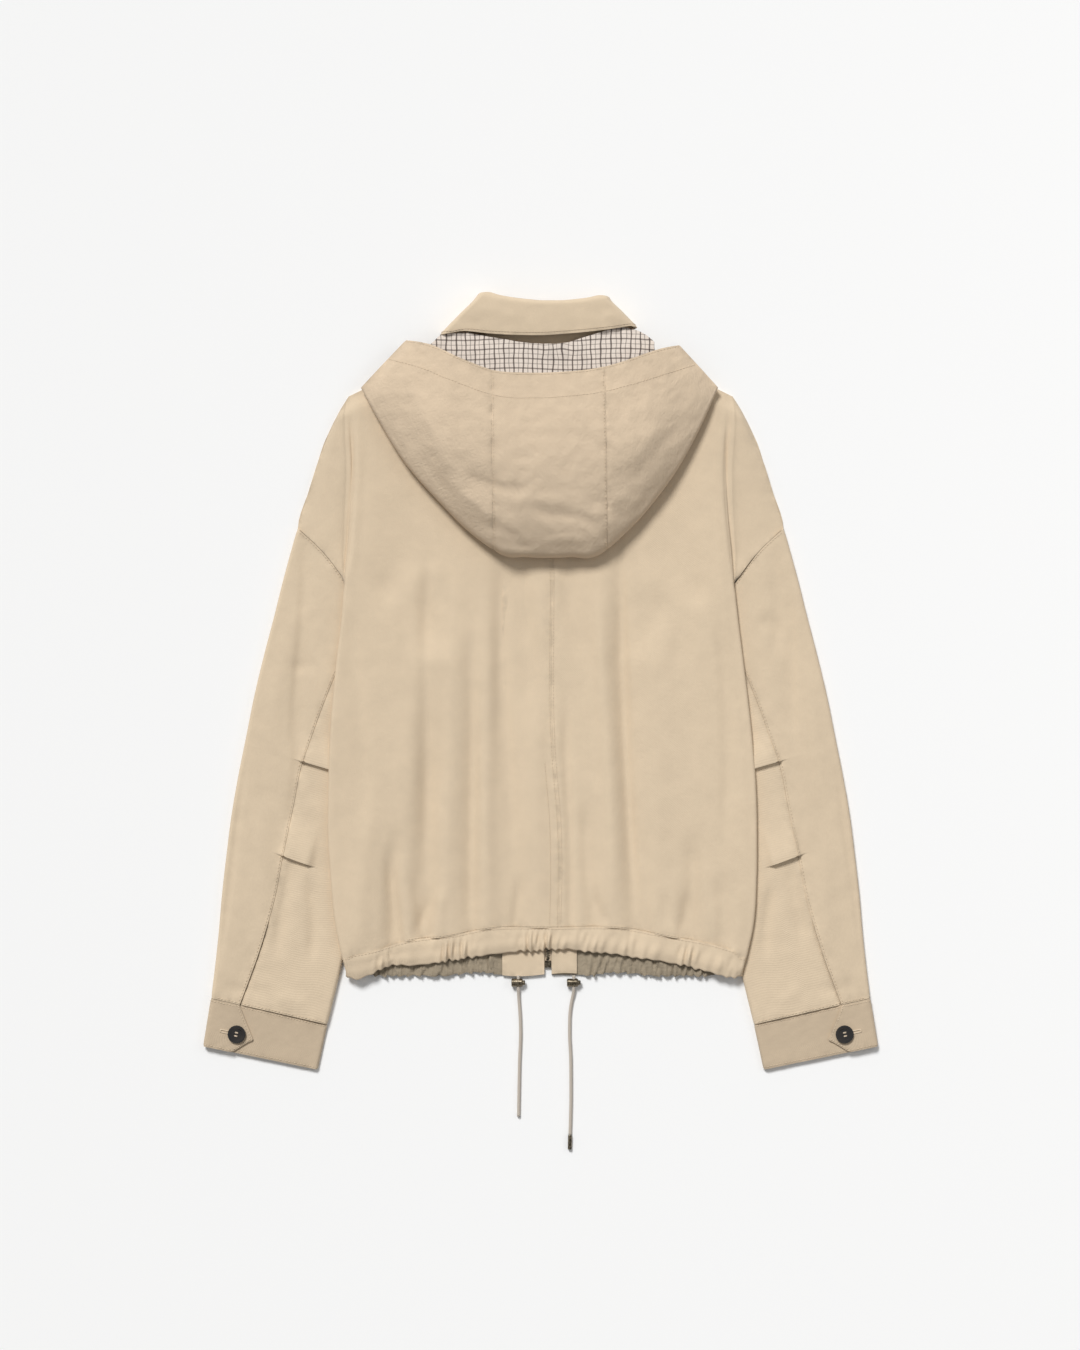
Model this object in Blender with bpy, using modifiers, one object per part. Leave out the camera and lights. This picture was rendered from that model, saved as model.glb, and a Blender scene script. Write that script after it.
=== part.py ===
"""Hooded zip jacket of cotton twill, laid flat on its front with its back up.

Sizes below are in millimetres and become metres when a mesh is made. +X is the wearer's right as the
back is seen, +Y points to the neck and +Z is up. The origin is the middle of the footprint, on the
surface that the jacket lies on. Every cloth piece is a wall, lofted through sections that are worked
out from the tables; "outer" is the face that looks away from the hollow of the garment.
"""
from math import cos, pi, radians, sin

import bmesh
import bpy
import numpy as np
from mathutils import Matrix, Vector

MM = 0.001

# Cloth
CLOTH = 1.6          # wall of one layer with its seam allowances
COLLAR_CLOTH = 1.6   # two layers with a soft interlining
CUFF_CLOTH = 2.0     # cuffs and hem casings
LINING = 1.0
SEAM_GAP = 0.3

# Heights of the flattened layers
SLEEVE_HEIGHT = 7.1
RETURN_HEIGHT = SLEEVE_HEIGHT + 0.4   # the back's turned-under side passes over the sleeve
SIDE_FOLD_HEIGHT = 6.2
SIDE_TOP = RETURN_HEIGHT + SIDE_FOLD_HEIGHT
BACK_HEIGHT = 8.0
SHOULDER_RIM = 2 * CLOTH + 0.6
NECK_LIFT = 5.0                       # the front rises over the collar leaves and the zip slider

# Outline, right half: shoulder corner, shoulder, sleeve and cuff edge
OUTER_EDGE = (  # y, x
    (272, 182.0), (263, 190.0), (253, 196.2), (234, 204.3), (215, 210.5), (177, 222.3),
    (146, 231.4), (101, 244.2), (63, 253.7), (25, 263.6), (-13, 272.7), (-51, 280.3),
    (-89, 287.9), (-127, 294.5), (-165, 299.3), (-203, 303.6), (-241, 306.9), (-279, 311.1),
    (-301, 314.0), (-347, 321.5),
)
# Crease where the body's side lies over the sleeve, one column for each side
SIDE_FOLD = (  # y, left, right
    (322, 180, 179), (256, 180, 178), (193, 179, 176), (160, 181, 177.5), (130, 183, 180.5),
    (95, 186.8, 184), (58, 189.6, 188), (18, 194.4, 193), (-63, 201, 202), (-104, 202, 205),
    (-139, 202.4, 205.8), (-184, 200, 205.5), (-231, 195.3, 202.5), (-262, 189, 196),
)
CENTRE_SEAM = (  # y, x of the centre back seam
    (320, 9), (118, 10.8), (-75, 12.7), (-126, 17), (-262, 17.5),
)
HEM_SEAM = (  # x, y of the back casing's upper stitch line
    (-196, -262), (-160, -256), (-128, -247), (-87, -242), (-50, -235), (9, -234),
    (82, -235), (120, -242), (164, -250), (203, -262),
)
SHOULDER_TIP = (231.4, 146.0)
UNDERARM = (118.0, 20.0)
SLEEVE_INNER_END = (203.0, -326.0)
NECK_POINT = (80.0, 322.0)
BACK_NECK_Y = 312.0
FRONT_NECK_Y = 262.0
ZIP_X = 7.0
ARMHOLE_BOW = 3.0
ARMHOLE_GAP = 0.5

# Soft vertical folds of the back: dents in the cloth, named by where they lie
BACK_FOLDS = (  # x at the yoke, x at the hem, y where it starts, half width, depth
    (-107, -108, 125, 10, 3.4),
    (-66, -68, 0, 9, 2.4),
    (-41, -26, 115, 12, 2.6),
    (35, 40, 110, 12, 1.4),
    (66, 90, 118, 11, 3.4),
    (-136, -142, -165, 9, 2.2),
    (148, 152, -120, 12, 1.6),
)

# Sleeve: each section runs from the outer fold to the inner fold
SLEEVE_SECTIONS = (  # y at outer fold, y at inner fold, back seam's share of the width, tuck lift
    (146, 20, 0.58, 0.0), (105, -10, 0.553, 0.0), (60, -35, 0.50, 0.0), (15, -58, 0.465, 0.2),
    (-25, -80, 0.438, 0.9), (-58, -97, 0.412, 1.9), (-61, -100, 0.41, 0.0),
    (-100, -143, 0.413, 0.7), (-145, -191, 0.409, 1.9), (-148, -194, 0.408, 0.0),
    (-190, -232, 0.40, 0.0), (-245, -279, 0.34, 0.2), (-301, -326, 0.248, 0.4),
)

# Cuff
CUFF_OUTER_DROP = (7.5, -46.0)   # from the sleeve's end to the cuff's lower edge, outer side
CUFF_INNER_DROP = (9.4, -43.5)
CUFF_TIP = 46.0                  # point of the overlap, from the outer fold
CUFF_SHOULDER = 28.0             # where the point starts at the cuff's two edges
CUFF_UNDERLAP = 20.0
BUTTON_RADIUS = 8.6
BUTTON_FROM_EDGE = 30.2

# Hood, seen from above: the opening's edge and the pouch's outer edge
HOOD_OPENING = (  # u, x, y
    (-1.0, -127.7, 324.5), (-0.8, -106, 319.7), (-0.52, -72, 304), (-0.36, -46.5, 294.5),
    (-0.1, -6, 291.5), (0.14, 30, 293), (0.40, 60.4, 297.5), (0.66, 88, 306), (0.86, 113, 315),
    (1.0, 131.5, 319.8),
)
HOOD_BOTTOM = (  # u, x, y
    (-1.0, -170.6, 279.0), (-0.88, -155, 250), (-0.72, -127, 205), (-0.58, -96, 170),
    (-0.46, -68, 142), (-0.36, -45, 125), (-0.1, -12, 118), (0.14, 26, 118), (0.40, 63.5, 125.5),
    (0.50, 87, 147), (0.62, 108, 171), (0.74, 129, 200), (0.88, 151, 240), (1.0, 168.5, 279.0),
)
HOOD_SEAM_LEFT = -0.36
HOOD_SEAM_RIGHT = 0.40
HOOD_PUFF = (  # share of the way from the opening to the pouch's edge, share of the full rise
    (0.0, 0.46), (0.12, 0.62), (0.3, 0.86), (0.5, 1.0), (0.68, 0.97), (0.82, 0.80), (0.93, 0.50),
    (1.0, 0.2),
)
HOOD_RISE = 30.0
HOOD_NECK_X = (-103.0, 113.0)
LINING_EDGE = (  # x, y of the lining's puffed edge below the collar
    (-106, 322), (-97, 327), (-74, 330.5), (-46, 326.5), (-6, 320.7), (26, 321.7), (46, 328),
    (86, 334.5), (101, 328), (111.5, 318.5), (117, 313),
)

# Collar
ROLL_LINE = ((-100, 366), (-57, 369.5), (-30, 365), (11, 361.5), (40, 363.5), (62, 366.3), (100, 364))
COLLAR_EDGE = ((-100, 329), (-84, 332), (-45, 329.5), (-6, 328), (40, 331), (87, 336), (100, 337))
COLLAR_LEFT = ((0.0, -57.0, 369.6), (1.0, -96.0, 329.6))    # share of the fall, x, y at the side
COLLAR_RIGHT = ((0.0, 63.0, 366.5), (1.0, 92.0, 336.8))

# Hem casings
GATHERS_BACK = 40
GATHERS_FRONT = 17
BACK_HEM_EDGE = (  # x, y
    (-192, -271), (-184.5, -278), (-176, -282.3), (-165, -279), (-150, -271.5), (-117, -269),
    (-90, -265), (-60, -260.5), (-20, -256), (12, -253.5), (56, -257), (100, -263), (130, -268),
    (160, -275), (174, -279), (185, -281), (191.5, -277.5), (198, -270),
)
HEM_CORNERS = ((-188.6, -184.2), (195.6, 191.2))   # x of the casing's ends, at its seam and its edge
HEM_END_RADIUS = 2.7
GATHER_CLUSTERS = (  # x, how tightly the casing is gathered there
    (-190, 0.5), (-165, 0.25), (-155, 0.95), (-141, 0.95), (-130, 0.35), (-104, 0.4), (-96, 1.0),
    (-66, 1.0), (-55, 0.35), (-26, 0.4), (-17, 1.0), (18, 1.0), (28, 0.35), (40, 0.8), (60, 0.8),
    (72, 0.35), (84, 0.8), (94, 0.7), (108, 0.3), (126, 0.4), (132, 0.9), (148, 0.9), (160, 0.4),
    (175, 0.8), (190, 0.9),
)
FRONT_HEM_EDGE_Y = -279.0
FRONT_HEM_SEAM_Y = -252.0
HEM_HALF_WIDTH = 166.0

CORD_RADIUS = 1.5
LOCK_RADIUS = 3.9
LOCK_LENGTH = 13.0
CORD_LEFT_ROUTE = (
    (-21.3, -279.8, 3.95), (-21.3, -286.8, 3.95), (-21.3, -291.4, 3.95), (-21.1, -297, 2.9),
    (-20.6, -304, 1.9), (-19.6, -318, 1.7), (-19.1, -335, 1.7), (-20.0, -360, 1.7),
    (-20.6, -388, 1.7), (-21.0, -414.5, 1.7),
)
CORD_RIGHT_ROUTE = (
    (31.6, -279.8, 3.95), (31.6, -286.8, 3.95), (31.6, -291.4, 3.95), (31.2, -297, 2.9),
    (29.7, -304, 1.9), (27.9, -318, 1.7), (27.6, -335, 1.7), (28.7, -360, 1.7),
    (28.9, -395, 1.7), (28.0, -432.0, 1.7),
)
TIP_LENGTH = 13.5

SHELL = (0.66, 0.55, 0.40)
HOOD_SHELL = (0.62, 0.50, 0.36)
CHECK = (0.80, 0.72, 0.66)
HORN = (0.012, 0.013, 0.015)
BRASS = (0.16, 0.13, 0.09)
CORD = (0.45, 0.38, 0.28)


# ---------------------------------------------------------------- helpers

def ease(start, end, value):
    """0 before start, 1 after end, and a soft ramp between."""
    share = np.clip((np.asarray(value, float) - start) / (end - start), 0.0, 1.0)
    return share * share * (3 - 2 * share)


def through(rows, column=1):
    """A smooth function that passes through a table's rows."""
    rows = sorted(rows)
    keys = np.array([row[0] for row in rows], float)
    values = np.array([row[column] for row in rows], float)
    slopes = np.gradient(values, keys)

    def at(key):
        key = np.clip(np.asarray(key, float), keys[0], keys[-1])
        i = np.clip(np.searchsorted(keys, key) - 1, 0, len(keys) - 2)
        width = keys[i + 1] - keys[i]
        t = (key - keys[i]) / width
        return ((2 * t**3 - 3 * t**2 + 1) * values[i] + (t**3 - 2 * t**2 + t) * width * slopes[i]
                + (3 * t**2 - 2 * t**3) * values[i + 1] + (t**3 - t**2) * width * slopes[i + 1])

    return at


def offset_path(path, wall):
    """Moves a flat path of (across, height) points to its left by the wall."""
    path = np.asarray(path, float)
    steps = np.diff(path, axis=0)
    steps /= np.linalg.norm(steps, axis=1)[:, None]
    normals = np.stack([-steps[:, 1], steps[:, 0]], axis=1)
    joined = np.vstack([normals[:1], normals[:-1] + normals[1:], normals[-1:]])
    joined /= np.linalg.norm(joined, axis=1)[:, None]
    stretch = np.ones(len(path))
    stretch[1:-1] = 1 / np.clip((joined[1:-1] * normals[:-1]).sum(axis=1), 0.6, 1.0)
    return path + joined * (wall * stretch)[:, None]


def grid_offset(grid, wall):
    """Moves a grid of points along its own normals."""
    grid = np.asarray(grid, float)
    along_rows = np.gradient(grid, axis=0)
    along_columns = np.gradient(grid, axis=1)
    normals = np.cross(along_rows, along_columns)
    normals /= np.linalg.norm(normals, axis=2)[..., None]
    return grid + normals * wall


def make_material(name, colour, roughness, metallic=0.0):
    material = bpy.data.materials.new(name)
    material.use_nodes = True
    shader = material.node_tree.nodes["Principled BSDF"]
    shader.inputs["Base Color"].default_value = (*colour, 1.0)
    shader.inputs["Roughness"].default_value = roughness
    shader.inputs["Metallic"].default_value = metallic
    material.diffuse_color = (*colour, 1.0)
    return material


def add_object(name, data, material, smooth=True):
    piece = bpy.data.objects.new(name, data)
    data.materials.append(material)
    JACKET.objects.link(piece)
    if smooth and isinstance(data, bpy.types.Mesh):
        data.shade_smooth()
        data.set_sharp_from_angle(angle=radians(40))
    return piece


def add_wall(name, outer, inner, material):
    """Lofts one closed wall through two grids of points, row by row."""
    outer = np.asarray(outer, float)
    inner = np.asarray(inner, float)
    rows, columns = outer.shape[:2]
    bm = bmesh.new()
    skins = [[[bm.verts.new(point * MM) for point in row] for row in skin] for skin in (outer, inner)]
    top, under = skins
    for i in range(rows - 1):
        for j in range(columns - 1):
            bm.faces.new((top[i][j], top[i][j + 1], top[i + 1][j + 1], top[i + 1][j]))
            bm.faces.new((under[i][j], under[i + 1][j], under[i + 1][j + 1], under[i][j + 1]))
    for i in (0, rows - 1):
        for j in range(columns - 1):
            bm.faces.new((top[i][j], under[i][j], under[i][j + 1], top[i][j + 1]))
    for j in (0, columns - 1):
        for i in range(rows - 1):
            bm.faces.new((top[i][j], top[i + 1][j], under[i + 1][j], under[i][j]))
    bmesh.ops.recalc_face_normals(bm, faces=bm.faces)
    mesh = bpy.data.meshes.new(name)
    bm.to_mesh(mesh)
    bm.free()
    return add_object(name, mesh, material)


def mirrored(points, side):
    points = np.array(points, float)
    points[..., 0] *= side
    return points


# ---------------------------------------------------------------- the garment's lines

outer_edge_x = through(OUTER_EDGE)
fold_x = {-1: through(SIDE_FOLD, 1), 1: through(SIDE_FOLD, 2)}
centre_seam_x = through(CENTRE_SEAM)
hem_seam_y = through(HEM_SEAM)
opening_x = through(HOOD_OPENING, 1)
opening_y = through(HOOD_OPENING, 2)
pouch_x = through(HOOD_BOTTOM, 1)
pouch_y = through(HOOD_BOTTOM, 2)
hood_puff = through(HOOD_PUFF)
roll_y = through(ROLL_LINE)
collar_edge_y = through(COLLAR_EDGE)
lining_edge_y = through(LINING_EDGE)
back_hem_y = through(BACK_HEM_EDGE)
gathering = through(GATHER_CLUSTERS)
SHOULDER_SLOPE = (NECK_POINT[1] - 271.0) / (184.0 - NECK_POINT[0])


def sleeve_inner_x(y):
    share = (UNDERARM[1] - y) / (UNDERARM[1] - SLEEVE_INNER_END[1])
    return UNDERARM[0] + (SLEEVE_INNER_END[0] - UNDERARM[0]) * share


def armhole_x(y, bowed=True):
    """The armhole seam, from the shoulder tip to the underarm, right side."""
    tip = np.array(SHOULDER_TIP)
    along = np.array(UNDERARM) - tip
    normal = np.array([along[1], -along[0]]) / np.linalg.norm(along)
    share = (tip[1] - y) / -along[1]
    bow = 0.0
    for _ in range(8):
        bow = armhole_bow(share) * bowed
        share = (tip[1] + normal[1] * bow - y) / -along[1]
    return tip[0] + along[0] * share + normal[0] * bow


def armhole_bow(share):
    return ARMHOLE_BOW * sin(pi * min(max(share / 0.4, 0.0), 1.0))


def top_line_y(x, neck_y):
    """Neckline and shoulder seam, as the upper edge of a front or a back."""
    reach = abs(x)
    if reach < NECK_POINT[0]:
        return neck_y + (NECK_POINT[1] - neck_y) * (reach / NECK_POINT[0]) ** 2
    return NECK_POINT[1] - (reach - NECK_POINT[0]) * SHOULDER_SLOPE


def neck_lift(x, y):
    """How far the front is lifted near the neck."""
    return NECK_LIFT * ease(185, 225, y) * (1 - ease(88, 128, abs(x - ZIP_X)))


def fold_depth(x, y):
    depth = 0.0
    for x_top, x_hem, y_start, half_width, full in BACK_FOLDS:
        centre = x_top + (x_hem - x_top) * (y_start - y) / (y_start + 250)
        depth += full * ease(y_start, y_start - 110, y) * np.exp(-((x - centre) / half_width) ** 2)
    return depth


def back_height(x, y):
    """Outer face of the back's upper layer, above the surface."""
    side = 1 if x > centre_seam_x(y) else -1
    reach = abs(x)
    fold = fold_x[side](y)
    if y < UNDERARM[1]:
        support = sleeve_inner_x(y)
    elif y < 96:
        support = armhole_x(y)
    else:
        support = fold - 4
    support = min(support, fold - 4)
    high = SIDE_TOP + (9.2 - SIDE_TOP) * ease(96, 250, y)
    swell = ease(support - 52, support - 3, reach)
    height = BACK_HEIGHT + (high - BACK_HEIGHT) * swell
    calm = (1 - swell) * (1 - 0.45 * (abs(x - ZIP_X) < 45))
    return height - fold_depth(x, y) * calm + 1.0 * calm * ease(110, 0, y) + neck_lift(x, y)


# ---------------------------------------------------------------- body

BACK_ROWS = (-262, -205, -140, -70, 2, 19, 27, 40, 62, 84, 94, 101, 107, 115, 125, 135,
             146, 170, 188, 206)
SHOULDER_SHARES = (0.28, 0.56, 0.82, 1.0)
BACK_COLUMNS = (0.0, 0.06, 0.12, 0.18, 0.25, 0.32, 0.375, 0.43, 0.485, 0.54, 0.61, 0.69, 0.79, 0.89,
                1.0)
SIDE_FOLD_TURNS = (22.5, 45.0, 90.0, 135.0, 157.5)
STEP_SHARES = (0.2, 0.4, 0.6, 0.8, 1.0)
STEP_WIDTH = 8.0
SIDE_DROP = (  # past the sleeve's inner edge: x from that edge, height
    (1.5, RETURN_HEIGHT), (-2.6, RETURN_HEIGHT - 0.6), (-5.2, 2.0), (-8.0, 0.0), (-12.0, 0.0),
)
DROP_TOP_Y = 40.0
CROSSING_Y = 94.0      # here the armhole meets the fold, and the wall stands on the sleeve


def fold_start(side, row_y):
    """X at which the flat top layer begins to turn round the side fold."""
    return fold_x[side](row_y) - SIDE_FOLD_HEIGHT / 2


def side_drop(side, row_y):
    """Where the return layer ends: on the floor below the underarm, on the armhole above it."""
    begin = fold_start(side, row_y)
    if row_y < UNDERARM[1]:
        edge = min(sleeve_inner_x(row_y), begin - 3.0)
        return [(edge + across, row_y, height) for across, height in SIDE_DROP]
    edge = armhole_x(row_y)
    closed = min((row_y - UNDERARM[1] + 1) / (DROP_TOP_Y - UNDERARM[1] + 1), 1.0) ** 0.8
    spread = min(2.0, 0.8 * (begin - edge))
    points = []
    for i, (across, height) in enumerate(SIDE_DROP):
        offset = across * (1 - closed) + spread * (1 - i / 4) * closed
        points.append((edge + offset, row_y, RETURN_HEIGHT + (height - RETURN_HEIGHT) * (1 - closed)))
    return points


def side_seam_x(side, y):
    """Edge of the front along the side seam, the underarm, the armhole and the shoulder."""
    rows = [row for row in BACK_ROWS if row < UNDERARM[1]]
    ends = [side_drop(side, row)[-1][0] for row in rows]
    if y < rows[-1]:
        return float(np.interp(y, rows, ends)) - SEAM_GAP
    if y < SHOULDER_TIP[1]:
        above = armhole_x(max(y, 44.0), bowed=False)
        if y > 44:
            return above
        return float(np.interp(y, (rows[-1], 28.0, 44.0), (ends[-1] - SEAM_GAP, ends[-1], above)))
    return outer_edge_x(y)


def step_point(share, soft, flat_end, fold, top, low):
    """A place on the crease above the underarm: sharp at its lower end, a slope at its upper end."""
    radius = SIDE_FOLD_HEIGHT / 2
    turn = radians(90) * min(1.0, share / 0.6)
    beyond = max(0.0, (share - 0.6) / 0.4)
    hard_x = flat_end + radius * sin(turn) + 0.9 * beyond**2
    hard_z = top - radius * (1 - cos(turn))
    hard_z += (low - hard_z) * ease(0, 1, beyond)
    soft_x = flat_end + STEP_WIDTH * share
    soft_z = top + (low - top) * ease(0, 1, share)
    return hard_x + (soft_x - hard_x) * soft, hard_z + (soft_z - hard_z) * soft


def back_section(side, row_y):
    """One section of a back panel: centre seam, side fold, then what lies beyond the fold."""
    radius = SIDE_FOLD_HEIGHT / 2
    start = side * centre_seam_x(row_y) + SEAM_GAP / 2
    flat_end = fold_start(side, row_y)
    points = []
    for share in BACK_COLUMNS:
        reach = start + (flat_end - start) * share
        points.append((reach, row_y, back_height(side * reach, row_y)))
    top = points[-1][2]
    if row_y <= CROSSING_Y:
        opened = 90.0 / SIDE_FOLD_TURNS[-1] if row_y == CROSSING_Y else 1.0
        for angle in SIDE_FOLD_TURNS:
            turn = radians(angle * opened)
            points.append((flat_end + radius * sin(turn), row_y, top - radius * (1 - cos(turn))))
        if row_y < CROSSING_Y:
            return points + side_drop(side, row_y)
        x, _, height = points[-1]
        for share in (0.8, 0.6, 0.4, 0.2, 0.0):
            points.append((x, row_y, RETURN_HEIGHT + (height - RETURN_HEIGHT) * share))
        return points
    if row_y < SHOULDER_TIP[1]:
        end = armhole_x(row_y)
    else:
        end = outer_edge_x(row_y)
    low = SLEEVE_HEIGHT + (9.2 - SLEEVE_HEIGHT) * ease(150, 250, row_y) + neck_lift(flat_end, row_y)
    low += 1.4 * ease(130, 101, row_y)
    soft = ease(96, 200, row_y)
    for share in STEP_SHARES:
        x, z = step_point(share, soft, flat_end, fold_x[side](row_y), top, low)
        points.append((min(x, end - 0.6 + 0.3 * share), row_y, z))
    begin = points[-1][0]
    rim_fall = ease(SHOULDER_TIP[1] - 12, SHOULDER_TIP[1], row_y)
    for across, fall in ((0.3, 0.0), (0.55, 0.08), (0.75, 0.3), (0.9, 0.65), (1.0, 1.0)):
        height = low + (SHOULDER_RIM - low) * fall * rim_fall
        points.append((begin + (end - begin) * across, row_y, height))
    return points


def build_back(side, material):
    sections = [back_section(side, y) for y in BACK_ROWS]
    hem = [list(point) for point in sections[0]]
    for point in hem[:len(BACK_COLUMNS)]:
        point[1] = hem_seam_y(side * point[0])
    sections[0] = [tuple(point) for point in hem]
    base_y = BACK_ROWS[-1]
    for share in SHOULDER_SHARES:
        corner_y = base_y + (271.0 - base_y) * share
        section = []
        for x, y, z in back_section(side, corner_y):
            line = top_line_y(x, BACK_NECK_Y)
            new_y = base_y + (line - base_y) * share
            height = z
            if x < fold_x[side](corner_y) - 4:
                height = back_height(side * x, new_y)
            if x > NECK_POINT[0]:
                rim = SHOULDER_RIM + neck_lift(side * x, new_y)
                height += (rim - height) * ease(16, 0, line - new_y) ** 0.8 if line - new_y < 16 else 0.0
            section.append((x, new_y, height))
        sections.append(section)
    outer = np.array(sections)
    inner = outer.copy()
    for i, row in enumerate(outer):
        moved = offset_path(row[:, [0, 2]], -CLOTH)
        inner[i, :, 0] = moved[:, 0]
        inner[i, :, 2] = moved[:, 1]
    name = "back_right" if side > 0 else "back_left"
    return add_wall(name, mirrored(outer, side), mirrored(inner, side), material)


FRONT_ROWS = (-225, -180, -110, -40, 19, 28, 44, 80, 115, 146, 185, 205, 225)
FRONT_COLUMNS = (0.0, 0.2, 0.4, 0.52, 0.64, 0.76, 0.88, 1.0)
FRONT_TOP_SHARES = (0.3, 0.62, 1.0)
ZIP_CHANNEL = 3.4


def front_point(side, share, y, side_x):
    start = side * ZIP_X + ZIP_CHANNEL
    x = start + (side_x - start) * share
    return x, y, neck_lift(side * x, y)


def build_front(side, material):
    rows = []
    for row_y in (FRONT_HEM_SEAM_Y,) + FRONT_ROWS:
        side_x = side_seam_x(side, row_y)
        rows.append([front_point(side, share, row_y, side_x) for share in FRONT_COLUMNS])
    base_y = FRONT_ROWS[-1]
    for top_share in FRONT_TOP_SHARES:
        row = []
        side_x = outer_edge_x(base_y + (271.0 - base_y) * top_share)
        for share in FRONT_COLUMNS:
            x = front_point(side, share, 0, side_x)[0]
            y = base_y + (top_line_y(x, FRONT_NECK_Y) - base_y) * top_share
            row.append((x, y, neck_lift(side * x, y)))
        rows.append(row)
    outer = np.array(rows)
    inner = outer + np.array([0, 0, CLOTH])
    name = "front_right" if side > 0 else "front_left"
    return add_wall(name, mirrored(outer, side), mirrored(inner, side), material)


# ---------------------------------------------------------------- sleeves and cuffs

def sleeve_ends(outer_y, inner_y):
    outer = np.array([outer_edge_x(outer_y), outer_y])
    inner = np.array([sleeve_inner_x(inner_y), inner_y])
    return outer, inner


SLEEVE_TOP_SHARES = (0.0, 0.18, 0.38, 0.58, 0.79, 1.0)
SLEEVE_UNDER_SHARES = (0.0, 0.12, 0.24, 0.36, 0.7, 1.0)


def sleeve_path(width, height, seam, lift, part):
    """Half of the flattened tube in (across, height), from the back seam round to the floor seam."""
    radius = height / 2
    middle = width * 0.5
    arc = []
    if part == "top":
        top = [(seam + (radius - seam) * share, height) for share in SLEEVE_TOP_SHARES]
        for angle in (30, 90, 150):
            turn = radians(angle)
            arc.append((radius - radius * sin(turn), radius + radius * cos(turn)))
        floor = [(radius, 0.0), (middle - SEAM_GAP / 2, 0.0)]
        return top + arc + floor
    start = seam + SEAM_GAP
    for share in SLEEVE_UNDER_SHARES:
        swell = lift * (1 - ease(0.08, 0.36, share))
        arc.append((start + (width - radius - start) * share, height + swell))
    for angle in (30, 90, 150):
        turn = radians(angle)
        arc.append((width - radius + radius * sin(turn), radius + radius * cos(turn)))
    return arc + [(width - radius, 0.0), (middle + SEAM_GAP / 2, 0.0)]


def tube_points(path, start, end, bow=0.0):
    """Stands a flat path up between two points of the plan."""
    width = np.linalg.norm(end - start)
    along = (end - start) / width
    normal = np.array([along[1], -along[0]])
    points = []
    for across, height in path:
        share = min(max(across / width, 0.0), 1.0)
        push = bow * armhole_bow(share) * (height > SLEEVE_HEIGHT / 2)
        place = start + along * across + normal * push
        points.append((place[0], place[1], height))
    return points


def build_sleeve(side, part, material):
    outer, inner = [], []
    for i, (outer_y, inner_y, seam_share, lift) in enumerate(SLEEVE_SECTIONS):
        start, end = sleeve_ends(outer_y, inner_y)
        if i == 0:
            shift = np.array([0.745, -0.667]) * ARMHOLE_GAP
            start = start + shift
            end = end + shift
        width = np.linalg.norm(end - start)
        path = sleeve_path(width, SLEEVE_HEIGHT, width * seam_share, lift, part)
        wall = CLOTH if part == "top" else -CLOTH
        bow = 1.0 if i == 0 else 0.0
        outer.append(tube_points(path, start, end, bow))
        inner.append(tube_points(offset_path(path, wall), start, end, bow))
    name = "sleeve_" + part + ("_right" if side > 0 else "_left")
    return add_wall(name, mirrored(outer, side), mirrored(inner, side), material)


CUFF_SHARES = (0.0, 0.2, 0.42, 0.64, 0.82, 1.0)
CUFF_TOP = 7.6
CUFF_UNDER_TOP = 5.3


def cuff_ends(share):
    outer = np.array([314.0, -301.0]) + np.array(CUFF_OUTER_DROP) * share
    inner = np.array(SLEEVE_INNER_END) + np.array(CUFF_INNER_DROP) * share
    return outer, inner


def cuff_path(width, share):
    """The band from its pointed overlap, round under the wrist and back to its hidden end."""
    tip = CUFF_TIP - (CUFF_TIP - CUFF_SHOULDER) * abs(share - 0.64) / (0.64 if share < 0.64 else 0.36)
    radius = CUFF_TOP / 2
    small = CUFF_UNDER_TOP / 2
    path = [(tip, CUFF_TOP), (tip * 0.55, CUFF_TOP), (radius, CUFF_TOP)]
    for angle in (30, 60, 90, 120, 150):
        turn = radians(angle)
        path.append((radius - radius * sin(turn), radius + radius * cos(turn)))
    path += [(radius, 0.0), (width * 0.5, 0.0), (width - small, 0.0)]
    for angle in (150, 90, 30):
        turn = radians(angle)
        path.append((width - small + small * sin(turn), small + small * cos(turn)))
    for across in (width - small, width * 0.6, CUFF_UNDERLAP):
        path.append((across, CUFF_UNDER_TOP))
    return path


def build_cuff(side, material):
    outer, inner = [], []
    for share in CUFF_SHARES:
        start, end = cuff_ends(share)
        gap = np.array([0.15, -0.6]) * (1 - share)
        path = cuff_path(np.linalg.norm(end - start), share)
        outer.append(tube_points(path, start + gap, end + gap))
        inner.append(tube_points(offset_path(path, CUFF_CLOTH), start + gap, end + gap))
    name = "cuff_right" if side > 0 else "cuff_left"
    return add_wall(name, mirrored(outer, side), mirrored(inner, side), material)


def build_button(side, material):
    """A turned button with a raised rim, as a screw profile from its top to its back."""
    start, end = cuff_ends(0.61)
    along = (end - start) / np.linalg.norm(end - start)
    place = start + along * BUTTON_FROM_EDGE
    profile = ((0.0, 2.0), (5.2, 2.0), (6.3, 2.9), (7.6, 3.1), (BUTTON_RADIUS, 2.3),
               (BUTTON_RADIUS, 1.2), (6.8, 0.0), (0.0, 0.0))
    mesh = bpy.data.meshes.new("button_profile")
    mesh.from_pydata([(x * MM, 0, z * MM) for x, z in profile],
                     [(i, i + 1) for i in range(len(profile) - 1)], [])
    name = "button_right" if side > 0 else "button_left"
    button = add_object(name, mesh, material, smooth=False)
    button.location = (side * place[0] * MM, place[1] * MM, (CUFF_TOP + SEAM_GAP) * MM)
    turn = button.modifiers.new("Turn", "SCREW")
    turn.steps = 20
    turn.render_steps = 20
    turn.use_merge_vertices = True
    turn.merge_threshold = 0.00001
    return button


# ---------------------------------------------------------------- hood

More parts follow.
